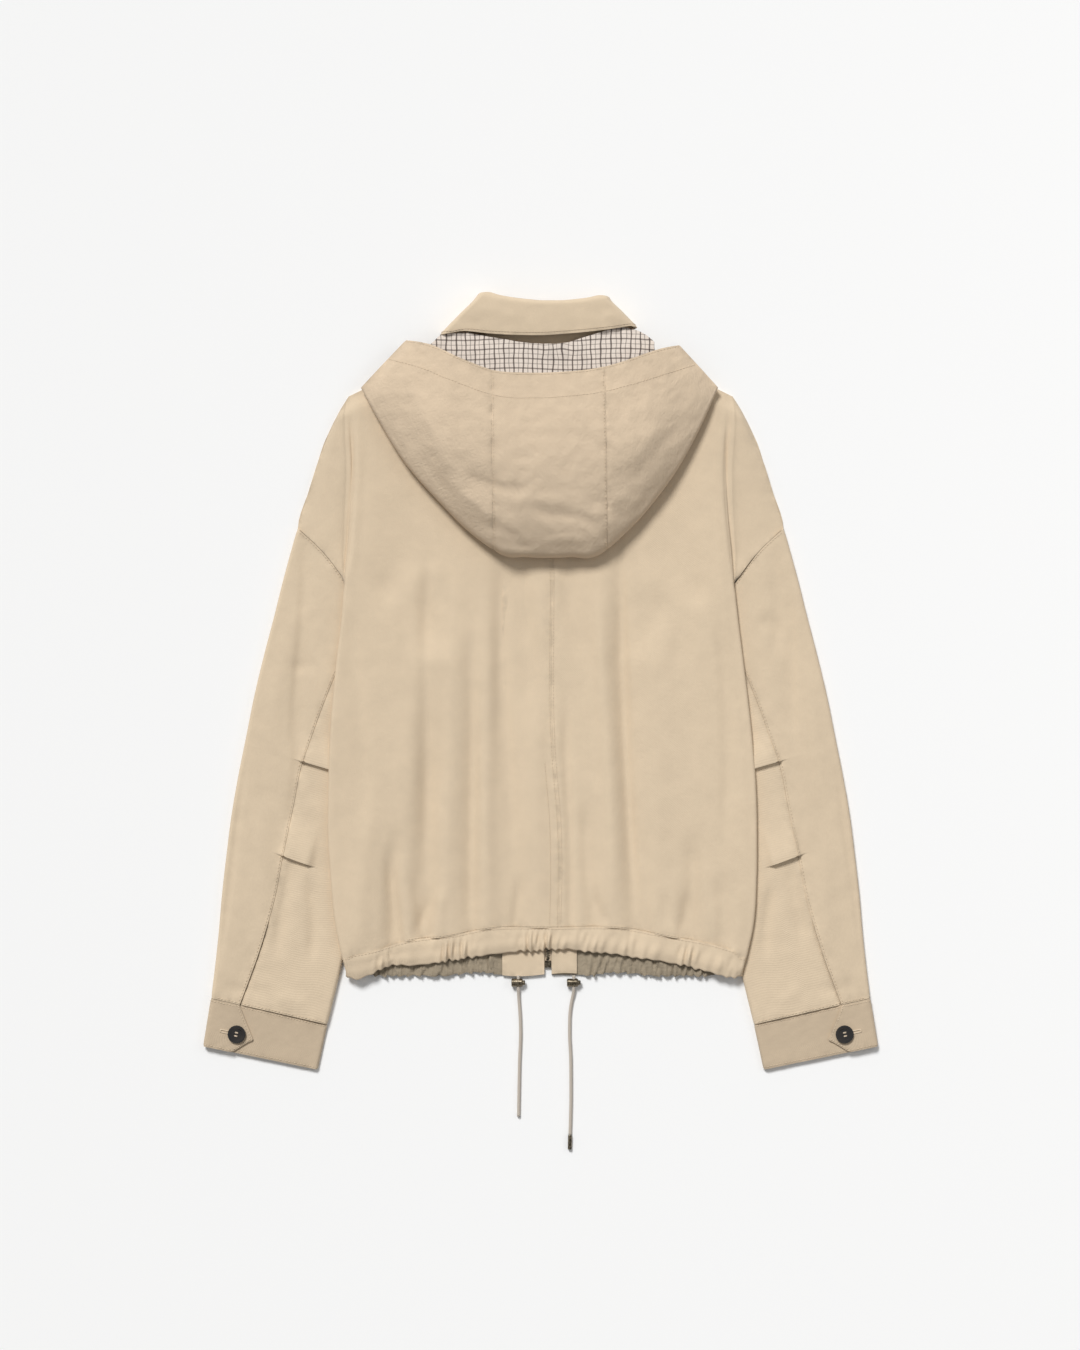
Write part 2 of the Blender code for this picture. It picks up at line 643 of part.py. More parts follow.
HOOD_SHARES = (0.0, 0.12, 0.3, 0.5, 0.68, 0.82, 0.93, 0.985)
HOOD_ROLL = 5.4
HOOD_COLUMNS = {
    "hood_side_left": (-1.0, -0.94, -0.84, -0.72, -0.6, -0.48, HOOD_SEAM_LEFT),
    "hood_centre": (HOOD_SEAM_LEFT, -0.24, -0.1, 0.02, 0.14, 0.27, HOOD_SEAM_RIGHT),
    "hood_side_right": (HOOD_SEAM_RIGHT, 0.52, 0.64, 0.76, 0.87, 0.95, 1.0),
}


def hood_floor(x, y):
    """The level on which the hood's lower layer lies."""
    inside = min(abs(x), 176.0)
    return back_height(inside if x > 0 else -inside, min(y, 312.0)) + 1.5


def hood_path(u):
    """Plan points and heights of the outer shell, from the opening over the pouch to the neck."""
    edge = np.array([opening_x(u), opening_y(u)])
    pouch = np.array([pouch_x(u), pouch_y(u)])
    neck_x = HOOD_NECK_X[0] + (HOOD_NECK_X[1] - HOOD_NECK_X[0]) * (u + 1) / 2
    neck = np.array([neck_x, lining_edge_y(neck_x) - 6.5])
    closing = 1 - abs(u) ** 3.2
    layers = 2 * CLOTH + 0.4 + (2 * LINING + 1.2) * ease(1.0, 0.93, abs(u))
    points = []
    for share in HOOD_SHARES:
        place = edge + (pouch - edge) * share
        low = hood_floor(*place) + layers
        points.append((place[0], place[1], low + (HOOD_RISE * closing + 1.5) * hood_puff(share)))
    low = hood_floor(*pouch)
    rise = points[-1][2] - low
    inward = (edge - pouch) / np.linalg.norm(edge - pouch)
    points.append((*pouch, low + rise * 0.5))
    points.append((*(pouch + inward * 1.8), low + rise * 0.16))
    start = pouch + inward * HOOD_ROLL
    points.append((*start, low))
    for share in (0.2, 0.4, 0.6, 0.8, 1.0):
        place = start + (neck - start) * share
        points.append((*place, hood_floor(*place)))
    return np.array(points)


def inward_offset(points, wall):
    """Moves a path towards the inside of the hood, in the upright plane from opening to pouch."""
    heading = points[len(HOOD_SHARES), :2] - points[0, :2]
    heading /= np.linalg.norm(heading)
    steps = np.diff(points, axis=0)
    along = np.linalg.norm(steps[:, :2], axis=1) * np.sign(steps[:, :2] @ heading)
    flat = np.stack([along, steps[:, 2]], axis=1)
    flat /= np.linalg.norm(flat, axis=1)[:, None]
    normals = np.stack([flat[:, 1], -flat[:, 0]], axis=1)
    joined = np.vstack([normals[:1], normals[:-1] + normals[1:], normals[-1:]])
    joined /= np.linalg.norm(joined, axis=1)[:, None]
    return points + np.column_stack([joined[:, :1] * heading, joined[:, 1]]) * wall


def build_hood_panel(name, columns, material):
    outer, inner = [], []
    for k, u in enumerate(columns):
        points = hood_path(u)
        nudge = 0.0
        if k == 0 and name != "hood_side_left":
            nudge = SEAM_GAP / 2 + 0.05
        if k == len(columns) - 1 and name != "hood_side_right":
            nudge = -SEAM_GAP / 2 - 0.05
        points[:, 0] += nudge
        outer.append(points)
        inner.append(inward_offset(points, CLOTH))
    return add_wall(name, outer, inner, material)


def build_hood_lining(material):
    """The checked lining lies inside the shell and shows between collar and opening."""
    outer, inner = [], []
    columns = sorted({u for row in HOOD_COLUMNS.values() for u in row})[1:-1]
    for k, u in enumerate(columns):
        points = inward_offset(hood_path(u), CLOTH + SEAM_GAP)
        path = [tuple(point) for point in points[:-1]]
        pucker = 0.5 * (1 + (-1) ** k)
        x, y, z = points[-1]
        path.append((x, y + 3.0, z + 1.0 + pucker))
        path.append((x, y + 6.5, z + 1.2 + pucker))
        path = np.array(path)
        outer.append(path)
        inner.append(inward_offset(path, LINING))
    return add_wall("hood_lining", outer, inner, material)


# ---------------------------------------------------------------- collar

# Each ring: share of the fall, how far inside the roll line, the same at the sides, then its height at
# the back and at the front
COLLAR_RINGS = (
    (0.0, 7.0, 7.0, 14.4, 6.2), (0.0, 1.8, 4.6, 14.9, 5.7), (0.0, 0.0, 1.0, 18.2, 3.1),
    (0.0, 1.6, -2.4, 21.8, 0.4), (0.12, 0.0, 0.0, 23.2, 0.0), (0.5, 0.0, 0.0, 23.8, 0.0),
    (1.0, 0.0, 0.0, 23.6, 0.0),
)
NECK_RINGS = ((0.0, 11.4, 9.0), (0.55, 11.6, 8.8), (0.98, 12.6, 7.6))   # share, back, front height
COLLAR_ACROSS = (0.0, 0.1, 0.22, 0.36, 0.5, 0.64, 0.78, 0.9, 1.0)
LEAF_END = (15.0, 288.0, 34.0, 256.0)   # x and y of the leaf's front end at the roll, then at its point


def collar_ring(share, inset, side_inset, back_z, front_z):
    """Round the neck: front end, left side, across the back, right side, front end."""
    left = np.array([through(COLLAR_LEFT, 1)(share), through(COLLAR_LEFT, 2)(share)])
    right = np.array([through(COLLAR_RIGHT, 1)(share), through(COLLAR_RIGHT, 2)(share)])
    left = left + np.array([side_inset, -inset])
    right = right - np.array([side_inset, inset])
    end_x = LEAF_END[0] + (LEAF_END[2] - LEAF_END[0]) * share
    end_y = LEAF_END[1] + (LEAF_END[3] - LEAF_END[1]) * share - inset
    middle = (back_z + front_z) / 2
    half = (back_z - front_z) / 2
    points = []
    for corner, sign in ((left, -1), (right, 1)):
        leaf = []
        front = np.array([ZIP_X + sign * end_x, end_y])
        for step in (0.0, 0.4, 0.8):
            place = front + (corner - np.array([sign * 6, 0]) - front) * step
            leaf.append((*place, front_z))
        for angle in (150, 120, 90, 60, 30):
            turn = radians(angle)
            bulge = corner[0] - sign * 6 * (1 - sin(turn))
            leaf.append((bulge, corner[1], middle + half * cos(turn)))
        points.append(leaf)
    back = []
    for across in COLLAR_ACROSS:
        x = (left[0] + 6) + (right[0] - left[0] - 12) * across
        roll = roll_y(x)
        edge = collar_edge_y(x)
        y = (roll - inset) * (1 - share) + edge * share
        side_y = left[1] * (1 - across) + right[1] * across
        ends = ease(0.12, 0.0, across) + ease(0.88, 1.0, across)
        back.append((x, y + (side_y - y) * ends, back_z))
    return np.array(points[0] + back + points[1][::-1])


def neck_ring(share, back_z, front_z):
    """The standing part of the collar, from the neckline (0) towards the roll (1)."""
    half_x = 60.0 - 8.0 * share
    back_y = 312.6 + 39.5 * share
    side_y = 320.0 + 34.0 * share
    front_x = 4.5 + 9.0 * share
    front_y = 264.0 + 11.0 * share
    middle = (back_z + front_z) / 2
    half = (back_z - front_z) / 2
    centre_x = ZIP_X - 4.0 * share
    sides = []
    for sign in (-1, 1):
        part = []
        for step in (0.0, 0.4, 0.8):
            x = centre_x + sign * (front_x + (half_x - 8 - front_x) * step)
            part.append((x, front_y + (side_y - front_y) * step ** 1.6, front_z))
        for angle in (150, 120, 90, 60, 30):
            turn = radians(angle)
            x = centre_x + sign * (half_x - 3 * (1 - sin(turn)))
            part.append((x, side_y, middle + half * cos(turn)))
        sides.append(part)
    back = []
    for across in COLLAR_ACROSS:
        x = centre_x + (half_x - 6) * (2 * across - 1)
        back.append((x, back_y + (side_y - back_y) * (2 * across - 1) ** 2, back_z))
    return np.array(sides[0] + back + sides[1][::-1])


def build_collar(material):
    """Cut in one: it stands up from the neckline, rolls over and falls on the hood's lining."""
    outer = [neck_ring(*ring) for ring in NECK_RINGS] + [collar_ring(*ring) for ring in COLLAR_RINGS]
    return add_wall("collar", outer, grid_offset(outer, -COLLAR_CLOTH), material)


# ---------------------------------------------------------------- hem casings

def gather_wave(index, seed):
    """An uneven height between 0 and 1 for each ridge or dent of the gathers."""
    ridge = index % 2
    uneven = 0.5 + 0.5 * sin(index * 1.7 + seed) * cos(index * 0.61 + 2 * seed)
    return ridge * (0.55 + 0.45 * uneven) + (1 - ridge) * 0.2 * uneven


def gather_places(left, right, count):
    """Places of the ridges and dents, closer together where the cloth is gathered tightly."""
    fine = np.linspace(left, right, 400)
    run = np.concatenate([[0], np.cumsum(0.5 + gathering((fine[1:] + fine[:-1]) / 2))])
    return np.interp(np.linspace(0, run[-1], count), run, fine)


def casing_end(row, under, sign):
    """Turns a row's last point under: the casing wraps round the side to meet the front's."""
    x, y, z = row[-1]
    radius = HEM_END_RADIUS
    small = radius - CUFF_CLOTH
    for angle in (45, 90, 135):
        turn = radians(angle)
        row.append((x + sign * radius * sin(turn), y, z - radius * (1 - cos(turn))))
        under.append((x + sign * small * sin(turn), y, z - radius + small * cos(turn)))
    row.append((x - sign * 4.0, y, z - 2 * radius))
    under.append((x - sign * 4.0, y, z - 2 * radius + CUFF_CLOTH))


def build_back_casing(material):
    count = 2 * GATHERS_BACK + 1
    outer, inner = [], []
    rows = ((0.0, 0.12, 0.2), (0.3, 0.7, 0.8), (0.75, 1.0, 0.6), (1.0, 0.8, -0.9))
    for share, strength, sag in rows:
        left, right = (at_seam + (at_edge - at_seam) * share for at_seam, at_edge in HEM_CORNERS)
        left, right = left + HEM_END_RADIUS, right - HEM_END_RADIUS
        row, under = [], []
        for i, x in enumerate(gather_places(left, right, count)):
            wave = gather_wave(i, 0.3) * (0.3 + 0.7 * gathering(x))
            from_end = min(x - left, right - x)
            top_y = hem_seam_y(x) - 0.9
            top_y += (-262.5 - top_y) * ease(9, 1, from_end)
            edge_y = back_hem_y(x) - 1.6 * wave
            base = back_height(x, -245.0)
            rest = 8.6 + 3.8 * ease(40, 14, from_end)
            z = base + (rest - base) * share + sag + (1 - ease(14, 0, from_end)) * strength * 3.4 * wave
            row.append((x, top_y + (edge_y - top_y) * share, z))
            under.append((x, row[-1][1] + 1.2 * (share == 1.0) * ease(0, 8, from_end), z - CUFF_CLOTH))
        casing_end(row, under, 1)
        row.reverse()
        under.reverse()
        casing_end(row, under, -1)
        outer.append(row)
        inner.append(under)
    return add_wall("back_hem_casing", outer, inner, material)


def build_front_casing(side, material):
    count = 2 * GATHERS_FRONT + 1
    start = side * ZIP_X + ZIP_CHANNEL
    xs = np.linspace(start, HEM_HALF_WIDTH, count)
    plain = FACING_WIDTH[side]
    outer, inner = [], []
    for share, strength in ((0.0, 0.1), (0.4, 0.6), (1.0, 1.0)):
        row, under = [], []
        for i, x in enumerate(xs):
            flat = ease(plain + 3, plain + 16, x - start)
            wave = gather_wave(i, 1.9) * flat
            fall = FRONT_HEM_EDGE_Y - FRONT_HEM_SEAM_Y - 2.2 * wave + 1.5 * flat
            y = FRONT_HEM_SEAM_Y - SEAM_GAP + fall * share
            z = 2.4 * wave * strength
            row.append((x, y, z + CUFF_CLOTH))
            under.append((x, y, z))
        outer.append(row)
        inner.append(under)
    name = "front_hem_casing_right" if side > 0 else "front_hem_casing_left"
    return add_wall(name, mirrored(outer, side), mirrored(inner, side), material)


# ---------------------------------------------------------------- zip

FACING_WIDTH = {-1: 40.0, 1: 24.0}
FACING_BASE = 2.8     # leaves room for the zip's tape between the front and its facing
FACING_THICK = 1.0
ZIP_ROWS = (-250, -100, 50, 185, 205, 225, 232, 256)
TEETH_WIDTH = 5.4
TEETH_THICK = 2.2
TEETH_BASE = 0.4


def strip_rows(x_start, x_end, ys, base, thick, bends=2):
    """A long strip that follows the front's rise towards the neck."""
    xs = np.linspace(x_start, x_end, bends)
    lower = [[(x, y, base + neck_lift(x, y)) for x in xs] for y in ys]
    upper = [[(x, y, base + thick + neck_lift(x, y)) for x in xs] for y in ys]
    return upper, lower


def build_facing(side, material):
    start = ZIP_X + side * (TEETH_WIDTH / 2 + 0.8)
    ys = (FRONT_HEM_EDGE_Y + 0.5,) + ZIP_ROWS
    upper, lower = strip_rows(start, start + side * FACING_WIDTH[side], ys, FACING_BASE, FACING_THICK, 4)
    return add_wall("zip_facing_right" if side > 0 else "zip_facing_left", upper, lower, material)


def add_block(name, size, place, material, bevel=0.0):
    bm = bmesh.new()
    bmesh.ops.create_cube(bm, size=1.0, matrix=Matrix.Diagonal(Vector(size) * MM).to_4x4())
    mesh = bpy.data.meshes.new(name)
    bm.to_mesh(mesh)
    bm.free()
    block = add_object(name, mesh, material, smooth=False)
    block.location = Vector(place) * MM
    if bevel:
        rounding = block.modifiers.new("Rounded edges", "BEVEL")
        rounding.width = bevel * MM
        rounding.segments = 2
    return block


SLIDER_Y = 240.0
PIN_Y = 242.0
PIN_Z = 1.6
PIN_RADIUS = 0.6
KNUCKLE_RADIUS = 1.6
KNUCKLE_HOLE = 1.0
KNUCKLE_WIDTH = 3.0
PULL_LENGTH = 24.0
PULL_WIDTH = 6.4
PULL_THICK = 1.2


def join_by_union(target, others):
    """Fuses solids into the target and removes them."""
    for other in others:
        fuse = target.modifiers.new("Fuse " + other.name, "BOOLEAN")
        fuse.operation = "UNION"
        fuse.object = other
    graph = bpy.context.evaluated_depsgraph_get()
    mesh = bpy.data.meshes.new_from_object(target.evaluated_get(graph))
    target.modifiers.clear()
    target.data = mesh
    for other in others:
        bpy.data.objects.remove(other)


def build_zip_teeth(material):
    """Both rows of closed teeth as one strip, with the bottom stop fused to its end."""
    ys = (-266,) + ZIP_ROWS[:-1]
    half = TEETH_WIDTH / 2
    upper, lower = strip_rows(ZIP_X - half, ZIP_X + half, ys, TEETH_BASE, TEETH_THICK, 3)
    teeth = add_wall("zip_teeth", upper, lower, material)
    stop = add_block("stop", (5.8, 7.0, 3.0), (ZIP_X, -269.0, 1.9), material, 0.3)
    bpy.context.view_layer.update()
    join_by_union(teeth, [stop])


def build_zip_slider(material):
    """Two plates joined through the zip's channel; lugs and a pin under it carry the pull."""
    body = add_block("zip_slider", (8.4, 12.0, 1.0), (ZIP_X, SLIDER_Y, 4.2), material)
    others = [
        add_block("bridge", (4.6, 11.0, 5.6), (ZIP_X, SLIDER_Y, 7.0), material),
        add_block("upper plate", (8.4, 12.0, 1.0), (ZIP_X, SLIDER_Y, 9.9), material),
    ]
    for sign in (-1, 1):
        x = ZIP_X + sign * (KNUCKLE_WIDTH / 2 + 0.85)
        others.append(add_block("lug", (1.0, 3.0, 3.4), (x, PIN_Y, 2.4), material))
    bm = bmesh.new()
    turn = Matrix.Rotation(pi / 2, 4, "Y")
    bmesh.ops.create_cone(bm, cap_ends=True, segments=12, radius1=PIN_RADIUS * MM,
                          radius2=PIN_RADIUS * MM, depth=(KNUCKLE_WIDTH + 1.6) * MM, matrix=turn)
    mesh = bpy.data.meshes.new("pin")
    bm.to_mesh(mesh)
    bm.free()
    pin = add_object("pin", mesh, material, smooth=False)
    pin.location = Vector((ZIP_X, PIN_Y, PIN_Z)) * MM
    bpy.context.view_layer.update()
    join_by_union(body, others + [pin])


def build_zip_pull(material):
    """A flat tab whose knuckle turns on the slider's pin; its origin is on that axis."""
    bm = bmesh.new()
    turn = Matrix.Rotation(pi / 2, 4, "Y")
    bmesh.ops.create_cone(bm, cap_ends=True, segments=20, radius1=KNUCKLE_RADIUS * MM,
                          radius2=KNUCKLE_RADIUS * MM, depth=KNUCKLE_WIDTH * MM, matrix=turn)
    mesh = bpy.data.meshes.new("zip_pull")
    bm.to_mesh(mesh)
    bm.free()
    pull = add_object("zip_pull", mesh, material, smooth=False)
    place = Vector((ZIP_X, PIN_Y, PIN_Z))
    pull.location = place * MM
    tab_z = PULL_THICK / 2 + 0.15
    neck = add_block("neck", (KNUCKLE_WIDTH, 6.0, PULL_THICK), (ZIP_X, place.y - 3.6, tab_z), material)
    tab_length = PULL_LENGTH - 6
    tab = add_block("tab", (PULL_WIDTH, tab_length, PULL_THICK),
                    (ZIP_X, place.y - 6 - tab_length / 2, tab_z), material, 0.3)
    bpy.context.view_layer.update()
    join_by_union(pull, [neck, tab])
    bm = bmesh.new()
    bmesh.ops.create_cone(bm, cap_ends=True, segments=16, radius1=KNUCKLE_HOLE * MM,
                          radius2=KNUCKLE_HOLE * MM, depth=8 * MM, matrix=turn)
    cutter_mesh = bpy.data.meshes.new("pull_eye_cutter")
    bm.to_mesh(cutter_mesh)
    bm.free()
    cutter = bpy.data.objects.new("pull_eye_cutter", cutter_mesh)
    CUTTERS.objects.link(cutter)
    cutter.location = pull.location
    cutter.hide_render = True
    cutter.display_type = "WIRE"
    eye = pull.modifiers.new("Eye", "BOOLEAN")
    eye.operation = "DIFFERENCE"
    eye.object = cutter
    return pull


# ---------------------------------------------------------------- drawcord

def smooth_route(route, count):
    """Even points on a smooth curve through the route's own points."""
    route = np.array(route, float)
    steps = np.linalg.norm(np.diff(route, axis=0), axis=1)
    places = np.concatenate([[0], np.cumsum(steps)])
    wanted = np.linspace(0, places[-1], count)
    axes = [through(list(zip(places, route[:, axis])))(wanted) for axis in range(3)]
    return np.stack(axes, axis=1)


def build_cord(name, route, material):
    points = smooth_route(route, 24)
    curve = bpy.data.curves.new(name, "CURVE")
    curve.dimensions = "3D"
    curve.bevel_depth = CORD_RADIUS * MM
    curve.bevel_resolution = 2
    curve.use_fill_caps = True
    spline = curve.splines.new("POLY")
    spline.points.add(len(points) - 1)
    for target, point in zip(spline.points, points):
        target.co = (*(point * MM), 1.0)
    return add_object(name, curve, material)


def build_cord_lock(name, x, y, z, material):
    """A turned barrel on its side, bored across for the cord."""
    half = LOCK_LENGTH / 2
    profile = ((0.0, half), (1.9, half), (2.3, half - 0.5), (2.3, half - 2.2), (3.4, half - 2.4),
               (LOCK_RADIUS, half - 3.2), (LOCK_RADIUS, 0.6 - half), (3.3, -half), (0.0, -half))
    mesh = bpy.data.meshes.new("lock_profile")
    mesh.from_pydata([(r * MM, 0, h * MM) for r, h in profile],
                     [(i, i + 1) for i in range(len(profile) - 1)], [])
    lock = add_object(name, mesh, material, smooth=False)
    lock.location = Vector((x, y, z)) * MM
    lock.rotation_euler = (0, pi / 2, 0)
    turn = lock.modifiers.new("Turn", "SCREW")
    turn.steps = 20
    turn.render_steps = 20
    turn.use_merge_vertices = True
    turn.merge_threshold = 0.00001
    bm = bmesh.new()
    bmesh.ops.create_cone(bm, cap_ends=True, segments=16, radius1=(CORD_RADIUS + 0.4) * MM,
                          radius2=(CORD_RADIUS + 0.4) * MM, depth=14 * MM,
                          matrix=Matrix.Rotation(pi / 2, 4, "X"))
    mesh = bpy.data.meshes.new(name + "_bore")
    bm.to_mesh(mesh)
    bm.free()
    cutter = bpy.data.objects.new(name + "_bore", mesh)
    CUTTERS.objects.link(cutter)
    cutter.location = lock.location
    cutter.hide_render = True
    cutter.display_type = "WIRE"
    bore = lock.modifiers.new("Bore", "BOOLEAN")
    bore.operation = "DIFFERENCE"
    bore.object = cutter
    return lock


def build_cord_tip(route, material):
    """Metal ferrule on the end of the right-hand cord."""
    end = Vector(route[-1])
    before = Vector(route[-2])
    along = (end - before).normalized()
    bm = bmesh.new()
    bmesh.ops.create_cone(bm, cap_ends=True, segments=14, radius1=1.9 * MM, radius2=1.9 * MM,
                          depth=TIP_LENGTH * MM)
    mesh = bpy.data.meshes.new("cord_tip")
    bm.to_mesh(mesh)
    bm.free()
    tip = add_object("cord_tip", mesh, material, smooth=False)
    tip.location = (end + along * (TIP_LENGTH / 2 + SEAM_GAP) + Vector((0, 0, 0.4))) * MM
    tip.rotation_euler = along.to_track_quat("Z", "Y").to_euler()
    rounding = tip.modifiers.new("Rounded ends", "BEVEL")
    rounding.width = 0.4 * MM
    rounding.segments = 2
    return tip


# ---------------------------------------------------------------- build

for old in list(bpy.data.objects):
    bpy.data.objects.remove(old)
JACKET = bpy.data.collections.new("Hooded zip jacket")
CUTTERS = bpy.data.collections.new("Cutters")
bpy.context.scene.collection.children.link(JACKET)
bpy.context.scene.collection.children.link(CUTTERS)


def main():
    shell = make_material("Cotton twill", SHELL, 0.88)
    hood_shell = make_material("Cotton twill, rosier", HOOD_SHELL, 0.9)
    check = make_material("Checked lining", CHECK, 0.85)
    horn = make_material("Black button", HORN, 0.18)
    brass = make_material("Antique brass", BRASS, 0.38, 0.9)
    cord = make_material("Braided cord", CORD, 0.85)
    for side in (-1, 1):
        build_front(side, shell)
        build_back(side, shell)
        build_sleeve(side, "top", shell)
        build_sleeve(side, "under", shell)
        build_cuff(side, shell)
        build_button(side, horn)
        build_front_casing(side, shell)
        build_facing(side, shell)
    for name, columns in HOOD_COLUMNS.items():
        build_hood_panel(name, columns, hood_shell)
    build_hood_lining(check)
    build_collar(shell)
    build_back_casing(shell)
    build_zip_teeth(brass)
    build_zip_slider(brass)
    build_zip_pull(brass)
    build_cord("drawcord_left", CORD_LEFT_ROUTE, cord)
    build_cord("drawcord_right", CORD_RIGHT_ROUTE, cord)
    build_cord_lock("cord_lock_left", *CORD_LEFT_ROUTE[1], brass)
    build_cord_lock("cord_lock_right", *CORD_RIGHT_ROUTE[1], brass)
    build_cord_tip(CORD_RIGHT_ROUTE, brass)


main()
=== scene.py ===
from math import cos, pi, radians, sin

import bmesh
import bpy
import numpy as np
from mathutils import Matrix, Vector
from mathutils.noise import noise as noise_at


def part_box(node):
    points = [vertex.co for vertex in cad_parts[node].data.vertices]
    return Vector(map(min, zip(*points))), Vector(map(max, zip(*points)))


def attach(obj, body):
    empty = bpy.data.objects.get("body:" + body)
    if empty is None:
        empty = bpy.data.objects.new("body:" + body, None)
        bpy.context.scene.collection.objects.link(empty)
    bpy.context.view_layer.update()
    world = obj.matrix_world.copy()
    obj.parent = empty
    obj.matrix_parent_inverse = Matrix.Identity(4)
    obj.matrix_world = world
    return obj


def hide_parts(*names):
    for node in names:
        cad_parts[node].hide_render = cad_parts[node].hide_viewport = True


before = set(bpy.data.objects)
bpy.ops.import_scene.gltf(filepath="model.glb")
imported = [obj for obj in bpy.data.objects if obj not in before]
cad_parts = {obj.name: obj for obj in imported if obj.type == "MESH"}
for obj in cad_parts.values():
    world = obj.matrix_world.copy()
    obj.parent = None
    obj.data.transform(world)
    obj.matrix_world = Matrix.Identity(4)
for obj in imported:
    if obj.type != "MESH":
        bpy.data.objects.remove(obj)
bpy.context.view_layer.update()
MM = 0.001
SIDES = ((-1, "left"), (1, "right"))

# %% [markdown]
# ## Camera
#
# Clothes that lie flat are photographed from straight above, with a long lens, so that the outline
# isn't distorted. A frame of 1.03 m by 1.28 m holds the garment with its margin.
#
# %% Camera straight above
FRAME_HEIGHT = 1.2825          # metres, at the height of the cloth
FRAME_MIDDLE = (-0.0006, 0.0063)
CLOTH_LEVEL = 0.012
LENS = 85.0
SENSOR = 36.0
scene = bpy.context.scene
camera = bpy.data.objects.new("camera", bpy.data.cameras.new("camera"))
scene.collection.objects.link(camera)
camera.data.lens = LENS
camera.data.sensor_width = SENSOR
camera.location = (*FRAME_MIDDLE, FRAME_HEIGHT * LENS / SENSOR + CLOTH_LEVEL)
scene.camera = camera
print("camera height %.2f m" % camera.location.z)

# %% [markdown]
# ## Small tools
#
# Cloth is drawn here as grids of points. One tool makes soft ramps, one draws a smooth curve through
# the rows of a table, and one fills a coarse grid with more points on smooth curves.
#
# %% Ramps, curves and grids
def ease(start, end, value):
    """0 before start, 1 after end, and a soft ramp between."""
    share = np.clip((np.asarray(value, float) - start) / (end - start), 0.0, 1.0)
    return share * share * (3 - 2 * share)


def mix(first, second, share):
    return first + (second - first) * share


def arc(x, z, radius, angles, way=1):
    """Points of a round turn about (x, z), at angles in degrees from its top."""
    return [(x + way * radius * sin(radians(angle)), z + radius * cos(radians(angle))) for angle in angles]


def cubic(keys, values, slopes, wanted, i):
    """The curve from key i to the next one, which leaves and arrives with their slopes."""
    width = (keys[i + 1] - keys[i]).reshape(np.shape(i) + (1,) * (values.ndim - 1))
    t = (wanted - keys[i]).reshape(width.shape) / width
    return ((2 * t**3 - 3 * t**2 + 1) * values[i] + (t**3 - 2 * t**2 + t) * width * slopes[i]
            + (3 * t**2 - 2 * t**3) * values[i + 1] + (t**3 - t**2) * width * slopes[i + 1])


def through(rows, column=1):
    """A smooth function that passes through a table's rows."""
    rows = sorted(rows)
    keys, values = (np.array([row[k] for row in rows], float) for k in (0, column))
    slopes = np.gradient(values, keys)

    def at(key):
        key = np.clip(np.asarray(key, float), keys[0], keys[-1])
        return cubic(keys, values, slopes, key, np.clip(np.searchsorted(keys, key) - 1, 0, len(keys) - 2))

    return at


def curve_through(keys, values, wanted):
    """Points on a smooth curve that passes each value at its key and never swings past it."""
    steps = np.diff(values, axis=0) / np.diff(keys).reshape((-1,) + (1,) * (values.ndim - 1))
    before, after = np.concatenate([steps[:1], steps]), np.concatenate([steps, steps[-1:]])
    limit = 3 * np.minimum(np.abs(before), np.abs(after))
    slopes = np.where(before * after > 0, np.clip(np.gradient(values, keys, axis=0), -limit, limit), 0)
    i = np.clip(np.searchsorted(keys, wanted, side="right") - 1, 0, len(keys) - 2)
    return cubic(keys, values, slopes, wanted, i)


def refine(grid, step, axis):
    """Adds points along one axis of a grid, so that no gap is much longer than the step."""
    grid = np.moveaxis(np.asarray(grid, float), axis, 0)
    gaps = np.linalg.norm(np.diff(grid, axis=0), axis=2)
    keys = np.concatenate([[0], np.cumsum(np.maximum(gaps.mean(axis=1), 0.05))])
    wanted = [np.linspace(*keys[i:i + 2], max(1, round(gaps[i].max() / step)), endpoint=False)
              for i in range(len(gaps))]
    return np.moveaxis(curve_through(keys, grid, np.concatenate(wanted + [keys[-1:]])), 0, axis)


def run_along(points, axis=0):
    """How far each point lies from the first, along a line or along one axis of a grid."""
    steps = np.linalg.norm(np.diff(points, axis=axis), axis=-1)
    return np.insert(np.cumsum(steps, axis=axis), 0, 0.0, axis=axis)


def outward(grid, facing=1):
    """Unit normals of a grid, turned so that they look out of the garment."""
    normals = np.cross(np.gradient(grid, axis=0), np.gradient(grid, axis=1))
    normals /= np.maximum(np.linalg.norm(normals, axis=2), 1e-9)[..., None]
    highest = np.unravel_index(np.argmax(grid[..., 2] * (np.abs(normals[..., 2]) > 0.6)), grid.shape[:2])
    return normals * (1 if normals[highest][2] * facing > 0 else -1)


def mirrored(points, side):
    return np.array(points, float) * (side, 1, 1)


print("a ramp is %.2f high after a quarter of its way" % ease(0, 1, 0.25))

# %% [markdown]
# ## Putting a piece on the jacket
#
# A finished mesh gets its finish and rides on the jacket. Most pieces take the place of the solid
# that they show finer.
#
# %% A tool that adds a piece
def add_piece(name, mesh, finish=None, instead=None):
    """Puts a mesh on the jacket, in place of the solid that it shows finer."""
    piece = bpy.data.objects.new(name, mesh)
    scene.collection.objects.link(piece)
    if finish:
        mesh.materials.append(finish)
    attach(piece, "jacket")
    if instead:
        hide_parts(instead)
    return piece


def mesh_of(bm, name):
    mesh = bpy.data.meshes.new(name)
    bm.to_mesh(mesh)
    bm.free()
    return mesh


print("tools ready")

